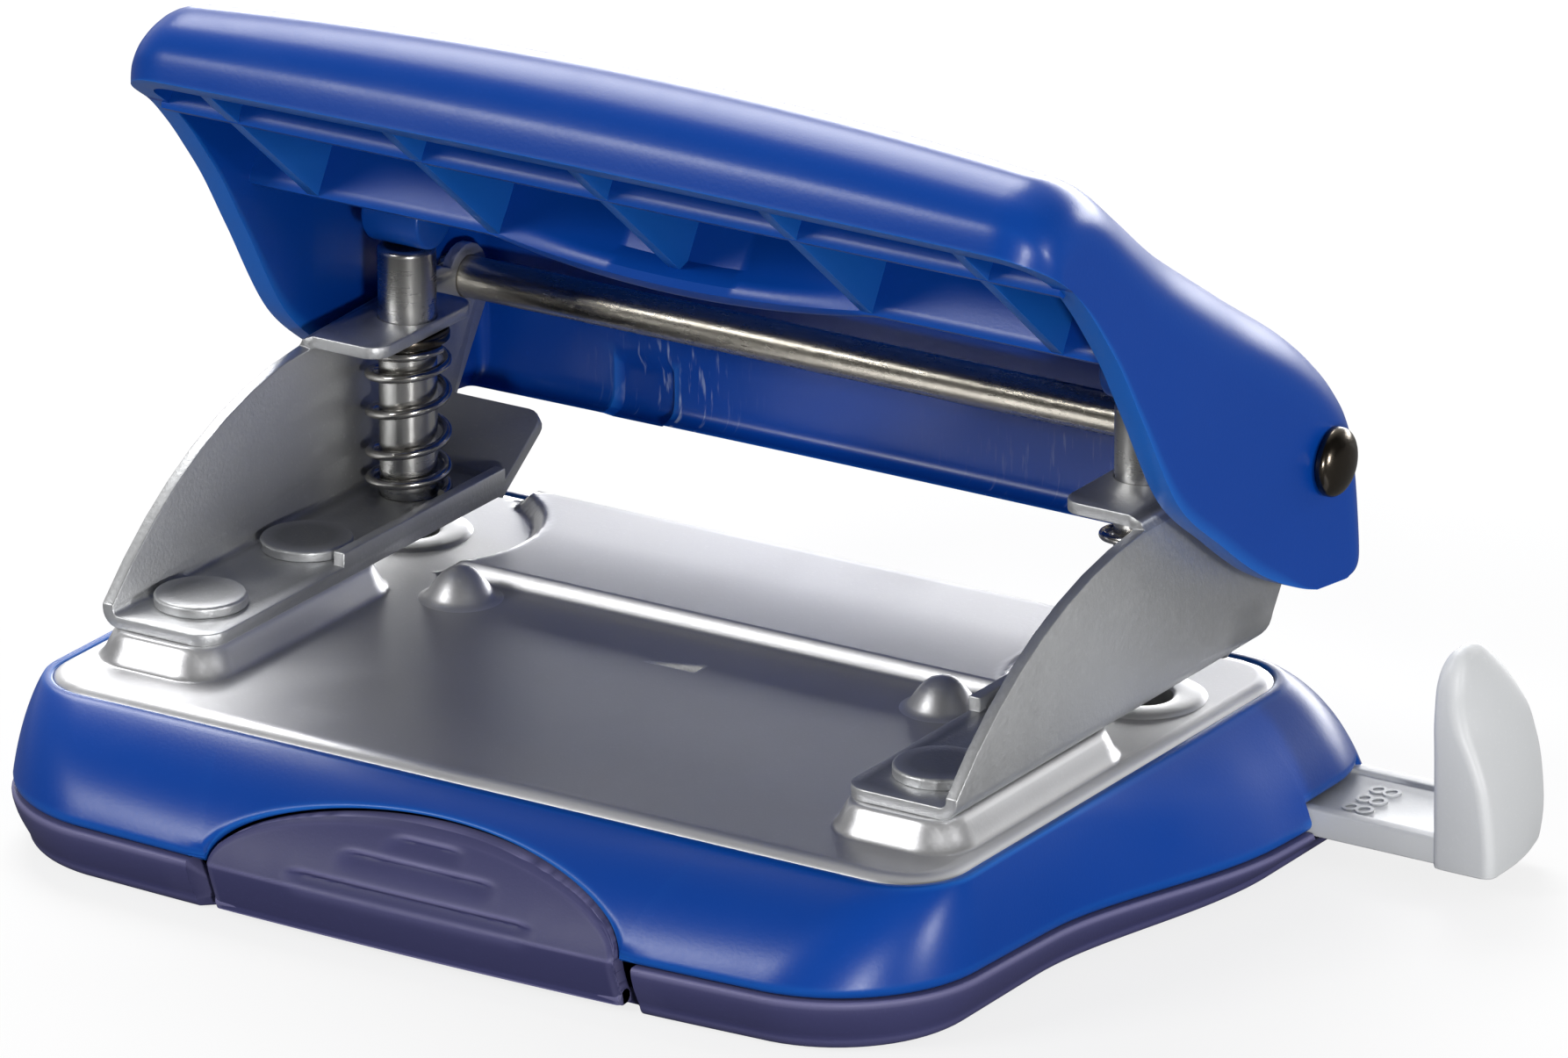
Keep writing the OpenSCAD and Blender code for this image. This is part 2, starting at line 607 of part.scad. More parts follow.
function wire_ring(p, i) = let (d = i <= 1 || i >= len(p) - 2 ? [0, 0, 1] : path_dir(p, i),
        out = unit([p[i][0], p[i][1], 0]), side = unit(cross(d, out)), up = cross(side, d))
    [for (k = [0:wire_sides - 1]) let (a = 360 * k / wire_sides)
        p[i] + wire_d / 2 * (cos(a) * up + sin(a) * side)];
module spring(left) color(nickel) translate([left ? -punch_x : punch_x, 0, 0])
    skin([for (i = [0:len(coil_path) - 1]) wire_ring(coil_path, i)]);
module left_spring() spring(true);
module right_spring() spring(false);
// Least gap between turns: points more than half a turn apart along the wire
coil_gap = min([for (i = [0:len(coil_path) - 1], j = [i + curl_rings / 2:1:len(coil_path) - 1])
    norm(coil_path[i] - coil_path[j])]) - wire_d;
echo(spring_least_gap = coil_gap);

rod_end = lever_half + cap_gap + cap_socket;
module cross_rod() color(nickel) translate([-rod_end, rod_y, rod_z]) rotate([0, 90, 0])
    cylinder(r = rod_r, h = 2 * rod_end);

// Domed cap pressed on a rod end
module rod_cap(left) color(nickel) mirrored(left)
    translate([lever_half + cap_gap, rod_y, rod_z]) rotate([0, 90, 0]) rotate_extrude()
        let (r = cap_d / 2, fit = rod_r + run_gap / 2) polygon(concat(
        [[0, cap_socket + run_gap], [fit, cap_socket + run_gap], [fit, 0], [r, 0]],
        [for (i = [0:arc_n]) let (a = 90 * i / arc_n) [r * cos(a), cap_h / 4 + cap_h * 3 / 4 * sin(a)]]));
module left_rod_cap() rod_cap(true);
module right_rod_cap() rod_cap(false);

// Lever, drawn level about the rod with its nose to the front, then tilted to rest.
// Side outlines are in u, the reach from the rod to the nose, and w, the height over the rod line.
// The back runs from the foot of the rear wall over the saddle and the grip to the lower lip of the nose;
// the belly runs back along the cheeks' lower edge.
module lever_frame() translate([0, rod_y, rod_z]) rotate([-lever_tilt, 0, 0]) children();
module side(x0, x1, outline) along_x(x0, x1) polygon([for (p = outline) [-p[0], p[1]]]);
back_chain = curve([[0.8 - tail_u, -7.6], [-tail_u, -4.8], [-tail_u / 2, 4.4], [-1.4, 8.6],
    [8, saddle_w - 0.6], [22, saddle_w], [36, saddle_w + 0.5], [46, back_w - 0.6], [nose_u - 9.6, back_w],
    [nose_u - 4, back_w - 1.4], [nose_u - 1, mix(lip_w, back_w, 0.6)], [nose_u, mix(lip_w, back_w, 0.3)],
    [nose_u - 0.6, lip_w]]);
belly_chain = curve([[-4.5, 1.2 - cheek_w], [-1.5, 0.6 - cheek_w], [3, 0.1 - cheek_w], [8, -cheek_w],
    [15, 0.6 - cheek_w], [25, 2 - cheek_w], [35.5, -5.2], [42, -1.9], [47, 0.1], [49.5, 1],
    [nose_u - 12.1, lip_w - 1.2], [nose_u - 10.6, lip_w - 0.8], [nose_u - 9.1, lip_w - 0.5]]);
// Each ring of the outer form crosses the lever from one cheek's lower edge over the back to the other's
ring_last = len(back_chain) - 1;
front_t = 0.42;
nose_t = 0.7;
function front_share(i) = smooth(i / ring_last / front_t);
function crown_share(i) =
    mix(heel_crown, 1, front_share(i)) * mix(1, nose_crown, smooth((i / ring_last - nose_t) / (1 - nose_t)));
function corner_r(i) = mix(heel_r, shoulder_r, front_share(i));
function sag(i, x) = crown_share(i) * x * x / (2 * crown_r);
function inward(i) = unit(belly_chain[i] - back_chain[i]);
function depth_point(i, depth) = back_chain[i] + depth * inward(i);
// Half of a ring from the middle outwards: x and the depth under the back
crown_n = 5;
corner_n = 5;
function half_ring(i) = let (r = corner_r(i), edge = lever_half - r, low = sag(i, edge)) concat(
    [for (k = [1:crown_n - 1]) let (x = edge * k / crown_n) [x, sag(i, x)]],
    [for (k = [0:corner_n]) let (a = 90 * k / corner_n) [edge + r * sin(a), low + r * (1 - cos(a))]],
    [[lever_half, norm(belly_chain[i] - back_chain[i])]]);
function placed(i, q) = let (p = depth_point(i, q[1])) [q[0], -p[0], p[1]];
function lever_ring(i) = let (h = half_ring(i)) concat(
    [for (k = [len(h) - 1:-1:0]) placed(i, [-h[k][0], h[k][1]])], [for (q = h) placed(i, q)]);
module lever_form() skin([for (i = [0:ring_last]) lever_ring(i)], banded = true);

// The hollow is cut as cells between the ribs. A cell's roof keeps the wall under the crown at x,
// and lies lower by a share of the shoulder where it meets a cheek.
shoulder_x = lever_half - shoulder_r;
function corner_drop(i, x) = x > shoulder_x ? (corner_r(i) - lever_wall) / 2 : 0;
function roof_chain(x, extra = 0) = [for (i = [0:ring_last])
    depth_point(i, lever_wall + extra + sag(i, min(x, shoulder_x)) + corner_drop(i, x))];
pit = -2 * cheek_w;
rib_tail_u = rib_rear_u - rib_tail;
// Cell between two places along the lever; the foremost cells end at the inside of the nose
module cell(x0, x1, u0, u1) let (chain = roof_chain(max(x0, x1), face_gap), last = chain[ring_last])
    side(x0, x1, concat([[u0, pit], [u0, lookup(u0, chain)]],
        [for (i = [1:ring_last]) if (chain[i][0] > u0 && chain[i][0] < u1) chain[i]],
        u1 < last[0] ? [[u1, lookup(u1, chain)], [u1, pit]] : [[last[0], pit]]));
// Hollow round the rod, upright inside the foot of the rear wall
module rear_hollow(x0, x1) let (chain = roof_chain(x1))
    side(x0, x1, concat([[chain[curve_n][0], pit]],
        [for (i = [curve_n:ring_last]) if (chain[i][0] < rib_tail_u) chain[i]],
        [[rib_tail_u, lookup(rib_tail_u, chain)], [rib_tail_u, pit]]));
// Space under the ribs' lower edges, from the rear hollow to the nose
module under_ribs() let (last = depth_point(ring_last, lever_wall))
    side(-cheek_x, cheek_x, [[rib_tail_u - over, -rib_rear_drop], [rib_rear_u, -rib_rear_drop],
        [rib_front_u, rib_front_w], last, [last[0], pit], [rib_tail_u - over, pit]]);
module hollow() {
    rear_hollow(-shoulder_x, shoulder_x);
    for (left = [true, false]) mirrored(left) rear_hollow(shoulder_x - over, cheek_x);
    under_ribs();
    rows = [[rib_tail_u - over, rib_rear_u], [rib_rear_u, rib_front_u], [rib_front_u, beyond]];
    for (row = rows, left = [true, false], k = [0:2])
        mirrored(left) cell(k * rib_pitch + rib_t / 2, min((k + 1) * rib_pitch - rib_t / 2, cheek_x),
            row[0] + rib_t / 2, row[1] - rib_t / 2);
}
// Arched middle of the rear cross rib
module rib_arch() translate([0, rib_t / 2 - rib_rear_u, -rib_rear_drop]) rotate([90, 0, 0])
    linear_extrude(rib_t) polygon(concat(
        [for (k = [0:2 * arc_n]) let (t = k / arc_n - 1) [t * arch_len / 2, arch_drop * (t * t - 1)]],
        [[arch_len / 2, rib_t], [-arch_len / 2, rib_t]]));
// A boss presses each punch with a round nose; its place follows from the punch's top
boss_rise = punch_top_z + boss_gap + boss_r - rod_z;
boss_u = rod_y * cos(lever_tilt) + boss_rise * sin(lever_tilt);
boss_v = boss_rise * cos(lever_tilt) - rod_y * sin(lever_tilt);
module boss(left) mirrored(left) translate([punch_x - boss_w / 2, -boss_u, boss_v]) {
    rotate([0, 90, 0]) cylinder(r = boss_r, h = boss_w);
    roof_w = lookup(boss_u, roof_chain(shoulder_x));
    translate([0, -boss_r, 0]) cube([boss_w, 2 * boss_r, roof_w + lever_wall / 2 - boss_v]);
}
module lever() color(blue) lever_frame() difference() {
    lever_form();
    difference() {
        hollow();
        rib_arch();
        boss(true);
        boss(false);
    }
    rotate([0, 90, 0]) cylinder(r = rod_r + run_gap, h = beyond, center = true);
}

// Guide bar with a sunk field inside a raised border
module guide_bar() color(pale) difference() {
    translate([stop_x - guide_len + fin_pocket, guide_y, guide_z])
        cube([guide_len - face_gap, guide_w, guide_t]);
    translate([stop_x - guide_len + fin_pocket + border_w, guide_y + border_w,
        guide_z + guide_t - border_h])
        cube([guide_len - fin_pocket - 2 * border_w, guide_w - 2 * border_w, border_h + over]);
}

// End stop: a fin with an upright inner face, a rounded top and a raked back
fin_z0 = guide_z - face_gap * 4;
fin_z1 = fin_z0 + fin_h;
fin_y0 = guide_y + (guide_w - fin_depth) / 2;
fin_y1 = fin_y0 + fin_depth;
fin_side = concat(
    [[fin_y0, fin_z0 + 0.6], [fin_y0, fin_z1 - 5]],
    curve([[fin_y0 + 0.1, fin_z1 - 4.4], [fin_y0 + 1.2, fin_z1 - 1.2], [fin_y0 + 3.6, fin_z1],
        [fin_y0 + 6.8, fin_z1 - 2], [fin_y1 - 1.6, fin_z1 - 7], [fin_y1 - 0.2, fin_z1 - 13],
        [fin_y1, fin_z0 + 4], [fin_y1 - 1.4, fin_z0 + 1.2], [fin_y1 - 4, fin_z0]]));
fin_face = concat(
    [[0, fin_z0], [0, fin_z1 - 4]],
    curve([[0.1, fin_z1 - 3.4], [0.8, fin_z1 - 1], [2.2, fin_z1 + 0.1], [3.8, fin_z1 - 1.4],
        [fin_t - 0.8, fin_z1 - 8], [fin_t, fin_z0 + 5], [fin_t - 0.2, fin_z0]]));
module guide_stop() color(pale) difference() {
    intersection() {
        along_x(stop_x, stop_x + fin_t) polygon(fin_side);
        translate([stop_x, fin_y1, 0]) rotate([90, 0, 0]) linear_extrude(fin_depth) polygon(fin_face);
    }
    translate([stop_x - over, guide_y - run_gap, guide_z - run_gap])
        cube([fin_pocket + over, guide_w + 2 * run_gap, guide_t + 2 * run_gap]);
}

base_housing();
bottom_cover();
chip_flap();
base_plate();
left_bracket();
right_bracket();
bracket_rivets();
left_punch();
right_punch();
left_retaining_ring();
right_retaining_ring();
left_spring();
right_spring();
cross_rod();
left_rod_cap();
right_rod_cap();
lever();
guide_bar();
guide_stop();
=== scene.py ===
# %% [markdown]
# # A desk punch, dressed for its picture
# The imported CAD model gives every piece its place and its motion. This lesson builds a finer skin over it:
# lofted mouldings, a pressed plate, folded sheet brackets, turned pins and wound springs. Each step says
# what the piece is on the real punch, how it could be made, and why it is made the way it is.
# Sizes below are millimetres, as on a drawing; the meshes are in metres, in the frame of the CAD model.

# %% Load the frame
import math

import bmesh
import bpy
import numpy as np
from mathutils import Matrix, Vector


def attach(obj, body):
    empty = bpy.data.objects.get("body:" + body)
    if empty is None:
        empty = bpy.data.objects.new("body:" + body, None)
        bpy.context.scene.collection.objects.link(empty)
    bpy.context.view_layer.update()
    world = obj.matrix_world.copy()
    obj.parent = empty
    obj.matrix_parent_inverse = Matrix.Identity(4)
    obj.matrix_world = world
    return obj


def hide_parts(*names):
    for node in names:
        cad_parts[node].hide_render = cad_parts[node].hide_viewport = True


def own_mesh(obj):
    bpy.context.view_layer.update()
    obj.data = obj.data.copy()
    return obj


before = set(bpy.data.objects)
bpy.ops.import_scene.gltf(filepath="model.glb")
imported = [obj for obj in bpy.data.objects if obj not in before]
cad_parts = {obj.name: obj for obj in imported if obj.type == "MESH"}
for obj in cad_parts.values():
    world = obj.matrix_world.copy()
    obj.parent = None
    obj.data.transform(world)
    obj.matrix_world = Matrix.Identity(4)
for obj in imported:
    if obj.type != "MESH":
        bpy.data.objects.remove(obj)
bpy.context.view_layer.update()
scene = bpy.context.scene
MM = 0.001

# %% [markdown]
# The camera stands far off with a long lens, to the right of the punch and a little above it, as for a
# catalogue picture. It could be placed by eye; here its angles were solved once from straight edges of
# known size, so the picture and the model can be laid over each other.

# %% Camera
VIEW_BACK = Vector((0.5011, -0.7887, 0.3561)).normalized()
VIEW_RIGHT = Vector((0.844, 0.536, 0)).normalized()
VIEW_UP = VIEW_BACK.cross(VIEW_RIGHT)
PLATE_CENTRE = Vector((0, 0, 14.5)) * MM
AWAY_M, AIM_RIGHT, AIM_UP = 1.317, 1.27, 7.65


def stand(name, data):
    """A new object for some data, linked to the scene."""
    thing = bpy.data.objects.new(name, data)
    scene.collection.objects.link(thing)
    return thing


def aim(thing, place, target):
    """Puts a camera or a lamp at a place and turns it towards a target."""
    thing.location = place
    thing.rotation_mode = "QUATERNION"
    thing.rotation_quaternion = (Vector(target) - Vector(place)).to_track_quat("-Z", "Y")


camera = stand("camera", bpy.data.cameras.new("camera"))
camera.data.sensor_width, camera.data.lens = 36, 328
aim(camera, PLATE_CENTRE + VIEW_BACK * AWAY_M,
    PLATE_CENTRE + VIEW_RIGHT * AIM_RIGHT * MM + VIEW_UP * AIM_UP * MM)
scene.camera = camera
print("camera at", [round(v, 3) for v in camera.location])

# %% [markdown]
# The light is a plain studio of five soft boxes. A wide one high on the left behind the punch lays the broad
# sheen along the lever, and a long low one at the rear lights the plate. One on the left lights the front,
# and two small ones on the right pick out the rounded corners.

# %% Lamps
scene.view_settings.view_transform = "Standard"
# Name, place and target in metres, width, height and watts
LAMPS = (("front_left", (-0.54, -0.84, 0.55), (0, -0.01, 0.03), 0.42, 0.2, 5.4),
         ("front_right", (0.68, -0.7, 0.1), (0.04, -0.03, 0.05), 0.09, 0.09, 4.2),
         ("side_right", (0.96, -0.05, 0.11), (0.05, -0.02, 0.03), 0.08, 0.12, 3.0),
         ("overhead_left", (-0.49, 0.52, 0.84), (0, 0, 0.04), 0.56, 0.5, 9.5),
         ("low_rear", (-0.15, 1.1, 0.16), (0, 0, 0.02), 1.4, 0.24, 12.0))
for name, place, target, width, height, watts in LAMPS:
    box = bpy.data.lights.new(name, "AREA")
    box.shape = "RECTANGLE"
    box.size, box.size_y, box.energy = width, height, watts
    aim(stand(name, box), place, target)
print("lamps:", [lamp[0] for lamp in LAMPS])

# %% [markdown]
# The background is white to the camera and, towards the back wall, to reflections. The room in front stays
# dim, so the blue keeps its depth, and a weak fill reaches matt surfaces alone. A lit white room would be
# simpler, but it would lay a milky haze over every glossy piece. Light Path nodes tell the rays apart.

# %% Background
AMBIENT, DIM_ROOM = 0.3, 0.05


def feed(tree, socket, value):
    """Links a node's socket to this one, or sets it where the value is a plain one."""
    if isinstance(value, bpy.types.NodeSocket):
        tree.links.new(value, socket)
    else:
        socket.default_value = value


def add(tree, kind, **sockets):
    """Adds a node, feeds its sockets by name, and gives its first output."""
    node = tree.nodes.new(kind)
    for label, value in sockets.items():
        feed(tree, node.inputs[label.replace("_", " ")], value)
    return node.outputs[0] if node.outputs else node


def maths(tree, operation, *values, clamp=False):
    """The result of a Math node."""
    node = tree.nodes.new("ShaderNodeMath")
    node.operation, node.use_clamp = operation, clamp
    for socket, value in zip(node.inputs, values):
        feed(tree, socket, value)
    return node.outputs[0]


def rays(tree):
    return tree.nodes.new("ShaderNodeLightPath").outputs


def sees_background(tree, mirrored):
    """1 for rays that show the background straight or refracted; mirrored is its share in reflections."""
    ray = rays(tree)
    straight = maths(tree, "MAXIMUM", ray["Is Camera Ray"], ray["Is Transmission Ray"])
    return maths(tree, "MAXIMUM", straight, maths(tree, "MULTIPLY", ray["Is Glossy Ray"], mirrored))


world = bpy.data.worlds.new("studio")
scene.world = world
world.use_nodes = True
room = world.node_tree
backdrop = room.nodes["Background"].inputs
backdrop["Color"].default_value = (1, 1, 1, 1)
towards = room.nodes.new("ShaderNodeTexCoord").outputs["Generated"]
facing = add(room, "ShaderNodeSeparateXYZ", Vector=towards).node.outputs
rear = maths(room, "MULTIPLY_ADD", facing["Y"], 1.0, 0.3, clamp=True)
left = maths(room, "MULTIPLY_ADD", facing["X"], -1.5, 1.0, clamp=True)
wall = maths(room, "MAXIMUM", maths(room, "MULTIPLY", rear, left), DIM_ROOM)
fill = maths(room, "MULTIPLY", rays(room)["Is Diffuse Ray"], AMBIENT)
feed(room, backdrop["Strength"], maths(room, "MAXIMUM", sees_background(room, wall), fill))
print("background:", world.name)

# %% [markdown]
# The punch stands on a sheet of paper that runs out of the picture. To the camera it is white and glows a
# little, so that it meets the background, and it still takes the shadow. To the light that bounces back at
# the punch it is a grey table, and in reflections a darker one.

# %% Floor
FLOOR_M, FLOOR_DROP, FLOOR_GLOW, GLOW_MIRRORED = 3.0, 0.2, 0.8, 0.06
WHITE_PAPER, GREY_TABLE, DARK_TABLE = 0.86, 0.24, 0.12
corners = [(x * FLOOR_M, y * FLOOR_M, 0) for x, y in ((-1, -1), (1, -1), (1, 1), (-1, 1))]
floor_mesh = bpy.data.meshes.new("floor")
floor_mesh.from_pydata(corners, [], [(0, 1, 2, 3)])
floor = stand("floor", floor_mesh)
floor.location.z = -FLOOR_DROP * MM
paper = bpy.data.materials.new("floor_paper")
paper.use_nodes = True
sheet = paper.node_tree
sheet.nodes.clear()
tone = maths(sheet, "MULTIPLY_ADD", rays(sheet)["Is Diffuse Ray"], GREY_TABLE - DARK_TABLE, DARK_TABLE)
tone = maths(sheet, "MULTIPLY_ADD", rays(sheet)["Is Camera Ray"], WHITE_PAPER - DARK_TABLE, tone)
glow = maths(sheet, "MULTIPLY", sees_background(sheet, GLOW_MIRRORED), FLOOR_GLOW)
blend = sheet.nodes.new("ShaderNodeMixShader")
matte = add(sheet, "ShaderNodeBsdfDiffuse", Color=tone)
for socket, value in zip(blend.inputs, (glow, matte, add(sheet, "ShaderNodeEmission"))):
    feed(sheet, socket, value)
add(sheet, "ShaderNodeOutputMaterial", Surface=blend.outputs[0])
floor_mesh.materials.append(paper)
print("floor:", 2 * FLOOR_M, "m wide")

# %% [markdown]
# Several finishes share the same small effects: the fine grain of a mould or a plating bath, soft handling
# marks, and hair scratches. Each effect is a node group, built once and placed in every material that
# needs it with its own values. Copying the nodes into each material would work too, but a group keeps one
# effect in one place.

# %% Shared effects
def effect(name, label, value, *outputs):
    """An empty shader group that takes a place and a number; gives its tree, inputs and outputs."""
    group = bpy.data.node_groups.new(name, "ShaderNodeTree")
    group.interface.new_socket("Vector", in_out="INPUT", socket_type="NodeSocketVector")
    group.interface.new_socket(label, in_out="INPUT", socket_type="NodeSocketFloat").default_value = value
    for output in outputs:
        group.interface.new_socket(output, in_out="OUTPUT", socket_type="NodeSocketFloat")
    return group, group.nodes.new("NodeGroupInput").outputs, group.nodes.new("NodeGroupOutput").inputs


def noise(tree, vector, scale, detail=2.0, roughness=0.5):
    return add(tree, "ShaderNodeTexNoise", Vector=vector, Scale=scale, Detail=detail, Roughness=roughness)


def ramp(tree, value, low, high):
    """The share of the way from low to high, smoothed."""
    share = add(tree, "ShaderNodeMapRange", Value=value, From_Min=low, From_Max=high)
    share.node.interpolation_type = "SMOOTHSTEP"
    return share


def mapped(tree, vector, scale, turn=(0, 0, 0)):
    return add(tree, "ShaderNodeMapping", Vector=vector, Rotation=turn, Scale=scale)


grain_group, ins, outs = effect("fine_grain", "Scale", 2500.0, "Height", "Speckle")
speckle = noise(grain_group, ins["Vector"], ins["Scale"], 3.0, 0.6)
feed(grain_group, outs["Height"], speckle)
feed(grain_group, outs["Speckle"], ramp(grain_group, speckle, 0.56, 0.74))

handling_group, ins, outs = effect("handling", "Scale", 55.0, "Smudge", "Cloud")
touched = noise(handling_group, ins["Vector"], ins["Scale"], 5.0, 0.62)
feed(handling_group, outs["Smudge"], ramp(handling_group, touched, 0.42, 0.68))
broad = maths(handling_group, "MULTIPLY", ins["Scale"], 0.35)
feed(handling_group, outs["Cloud"], noise(handling_group, ins["Vector"], broad))

scratch_group, ins, outs = effect("hair_scratches", "Amount", 0.5, "Mask")
layers = []
for turn, stretch in ((0.5, (1500, 90, 200)), (-0.9, (110, 1800, 170))):
    slanted = mapped(scratch_group, ins["Vector"], stretch, (turn, 0.3 * turn, turn))
    layers.append(ramp(scratch_group, noise(scratch_group, slanted, 1.0, 1.0), 0.72, 0.8))
hair = maths(scratch_group, "MAXIMUM", *layers)
feed(scratch_group, outs["Mask"], maths(scratch_group, "MULTIPLY", hair, ins["Amount"]))
print("effects:", [g.name for g in bpy.data.node_groups])

# %% [markdown]
# A finish is one Principled surface whose colour, roughness and bump come from those effects. Numbers that
# are the same all over a surface, such as the metal value, are set on the shader's own sockets. A mesh can
# carry two attributes. Edge is high on its rounded rims; there the colour goes paler or brighter, a painted
# highlight along the rim that also stands for a thin, cut or rubbed rim. Scuff is high where paper and fingers
# have rubbed.

# %% A finish, and the blue moulding
STREAKS, STREAK_TURN = (1900, 200, 260), (0.1, 0.25, 0)


def finish(name, colour, rough, metal=0.0, gloss=0.5, grain=2500.0, bump=0.02, rough_swing=0.1,
           shade_swing=0.1, smudge=0.08, scratch=0.0, rim_sheen_and_wear_colour=None, scuff_colour=None,
           stretch=(1, 1, 1)):
    material = bpy.data.materials.new(name)
    material.use_nodes = True
    tree = material.node_tree
    shader = tree.nodes["Principled BSDF"].inputs
    shader["Metallic"].default_value = metal
    shader["Specular IOR Level"].default_value = gloss
    place = tree.nodes.new("ShaderNodeTexCoord").outputs["Object"]

    def use(group, vector, **values):
        node = tree.nodes.new("ShaderNodeGroup")
        node.node_tree = group
        for label, value in {"Vector": vector, **values}.items():
            feed(tree, node.inputs[label], value)
        return node.outputs

    def painted(label):
        node = tree.nodes.new("ShaderNodeAttribute")
        node.attribute_name = label
        return node.outputs["Fac"]

    def tinted(base, target, factor):
        node = tree.nodes.new("ShaderNodeMix")
        node.data_type = "RGBA"
        for index, value in ((0, factor), (6, base), (7, target)):
            feed(tree, node.inputs[index], (*value, 1) if isinstance(value, tuple) else value)
        return node.outputs[2]

    def shade(share):
        return tuple(min(1, c * (1 + share)) for c in colour)

    fine = use(grain_group, mapped(tree, place, stretch), Scale=grain)
    marks = use(handling_group, place)
    body = tinted(shade(-shade_swing), shade(shade_swing), marks["Cloud"])
    body = tinted(body, shade(3 * shade_swing), maths(tree, "MULTIPLY", fine["Speckle"], 0.5))
    relief = fine["Height"]
    # Rims turn towards the rim colour: a painted highlight on rounded rims, partly standing for wear.
    if rim_sheen_and_wear_colour:
        uneven = maths(tree, "MULTIPLY_ADD", marks["Cloud"], 0.5, 0.6)
        body = tinted(body, rim_sheen_and_wear_colour, maths(tree, "MULTIPLY", painted("edge"), uneven, clamp=True))
    if scuff_colour:
        worn = ramp(tree, noise(tree, mapped(tree, place, STREAKS, STREAK_TURN), 1.0, 3.0), 0.56, 0.72)
        body = tinted(body, scuff_colour, maths(tree, "MULTIPLY", worn, painted("scuff"), clamp=True))
    if scratch:
        hairs = use(scratch_group, place, Amount=scratch)["Mask"]
        body = tinted(body, tuple(0.5 + 0.5 * c for c in colour), hairs)
        relief = maths(tree, "SUBTRACT", relief, hairs)
    feed(tree, shader["Base Color"], body)
    dull = maths(tree, "MULTIPLY_ADD", fine["Height"], rough_swing, rough - rough_swing / 2)
    feed(tree, shader["Roughness"], maths(tree, "MULTIPLY_ADD", marks["Smudge"], smudge, dull, clamp=True))
    feed(tree, shader["Normal"], add(tree, "ShaderNodeBump", Distance=bump * MM, Height=relief))
    return material


# The blue's rim colour paints a pale highlight along the lever's lip and other rounded rims, partly a thin
# rubbed rim.
BLUE = finish("blue_moulding", (0.001, 0.046, 0.3), 0.3, gloss=0.3, grain=3200.0, bump=0.008, rough_swing=0.08,
              shade_swing=0.06, smudge=0.05, rim_sheen_and_wear_colour=(0.01, 0.12, 0.48), scuff_colour=(0.42, 0.5, 0.66))
print(BLUE.name, "has", len(BLUE.node_tree.nodes), "nodes")

# %% [markdown]
# The other finishes differ in their values alone. The cover and the guide are duller mouldings, the plate
# and the brackets plated sheet, the punches turned steel with its grain drawn out round them, and the rod,
# its caps and the springs bright or darkened drawn metal.

# %% Other finishes
VIOLET = finish("violet_moulding", (0.043, 0.044, 0.128), 0.5, gloss=0.36, grain=3600.0, bump=0.016,
                rim_sheen_and_wear_colour=(0.16, 0.155, 0.3))
# The plate's rim colour is a painted highlight on its rolled edge and pad rims, partly polished wear.
PLATE = finish("plated_pressing", (0.55, 0.55, 0.56), 0.38, 0.8, grain=2600.0, bump=0.01, rough_swing=0.12,
               shade_swing=0.05, smudge=0.07, scratch=0.06, rim_sheen_and_wear_colour=(0.8, 0.8, 0.81))
ZINC = finish("zinc_sheet", (0.36, 0.363, 0.367), 0.44, 0.85, grain=2300.0, bump=0.035, rough_swing=0.22,
              shade_swing=0.15, smudge=0.06, scratch=0.05, rim_sheen_and_wear_colour=(0.8, 0.81, 0.82))
STEEL = finish("turned_steel", (0.27, 0.265, 0.255), 0.24, 1.0, grain=1500.0, bump=0.004, rough_swing=0.12,
               scratch=0.1, stretch=(0.2, 0.2, 3.0), rim_sheen_and_wear_colour=(0.8, 0.79, 0.76))
WIRE = finish("bright_wire", (0.62, 0.6, 0.57), 0.18, 1.0, grain=1800.0, bump=0.003, rough_swing=0.08)
NICKEL = finish("drawn_nickel", (0.46, 0.43, 0.37), 0.26, 1.0, grain=2600.0, bump=0.02, rough_swing=0.16,
                shade_swing=0.16, scratch=0.15, stretch=(0.25, 1, 1))
DARK_NICKEL = finish("dark_nickel", (0.1, 0.085, 0.068), 0.2, 1.0, grain=2200.0, bump=0.004, scratch=0.3)
GREY = finish("grey_moulding", (0.58, 0.592, 0.605), 0.4, grain=3000.0, bump=0.012, shade_swing=0.04,
              rim_sheen_and_wear_colour=(0.7, 0.71, 0.72))
print("finishes:", [m.name for m in (VIOLET, PLATE, ZINC, STEEL, WIRE, NICKEL, DARK_NICKEL, GREY)])

# %% [markdown]
# Most pieces are built from rings of points: a loft joins one ring to the next, and a turned piece is a
# profile swept round its axis. Writing the points from a rule keeps every piece closed, with its place in
# its mesh and its object at the origin, which the patterns rely on.

# %% Nets and profiles
def quads(rows, columns, wrap_rows=False, wrap_columns=False, start=0):
    """Faces of a net of points, row after row."""
    faces = []
    for i in range(rows if wrap_rows else rows - 1):
        for j in range(columns if wrap_columns else columns - 1):
            k, l = (i + 1) % rows, (j + 1) % columns
            corners = ((i, j), (i, l), (k, l), (k, j))
            faces.append(tuple(start + row * columns + column for row, column in corners))
    return faces


def capped(rows, columns):
    """Faces of a closed loft: the net round its rings, and a cap on the first ring and the last."""
    last = range((rows - 1) * columns, rows * columns)
    return quads(rows, columns, wrap_columns=True) + [tuple(range(columns))[::-1], tuple(last)]


def net_border(rows, columns):
    """Indices round the edge of a net of points."""
    last = (rows - 1) * columns
    return np.array([*range(columns), *range(2 * columns - 1, rows * columns, columns),
                     *range(last + columns - 2, last - 1, -1), *range(last - columns, 0, -columns)])


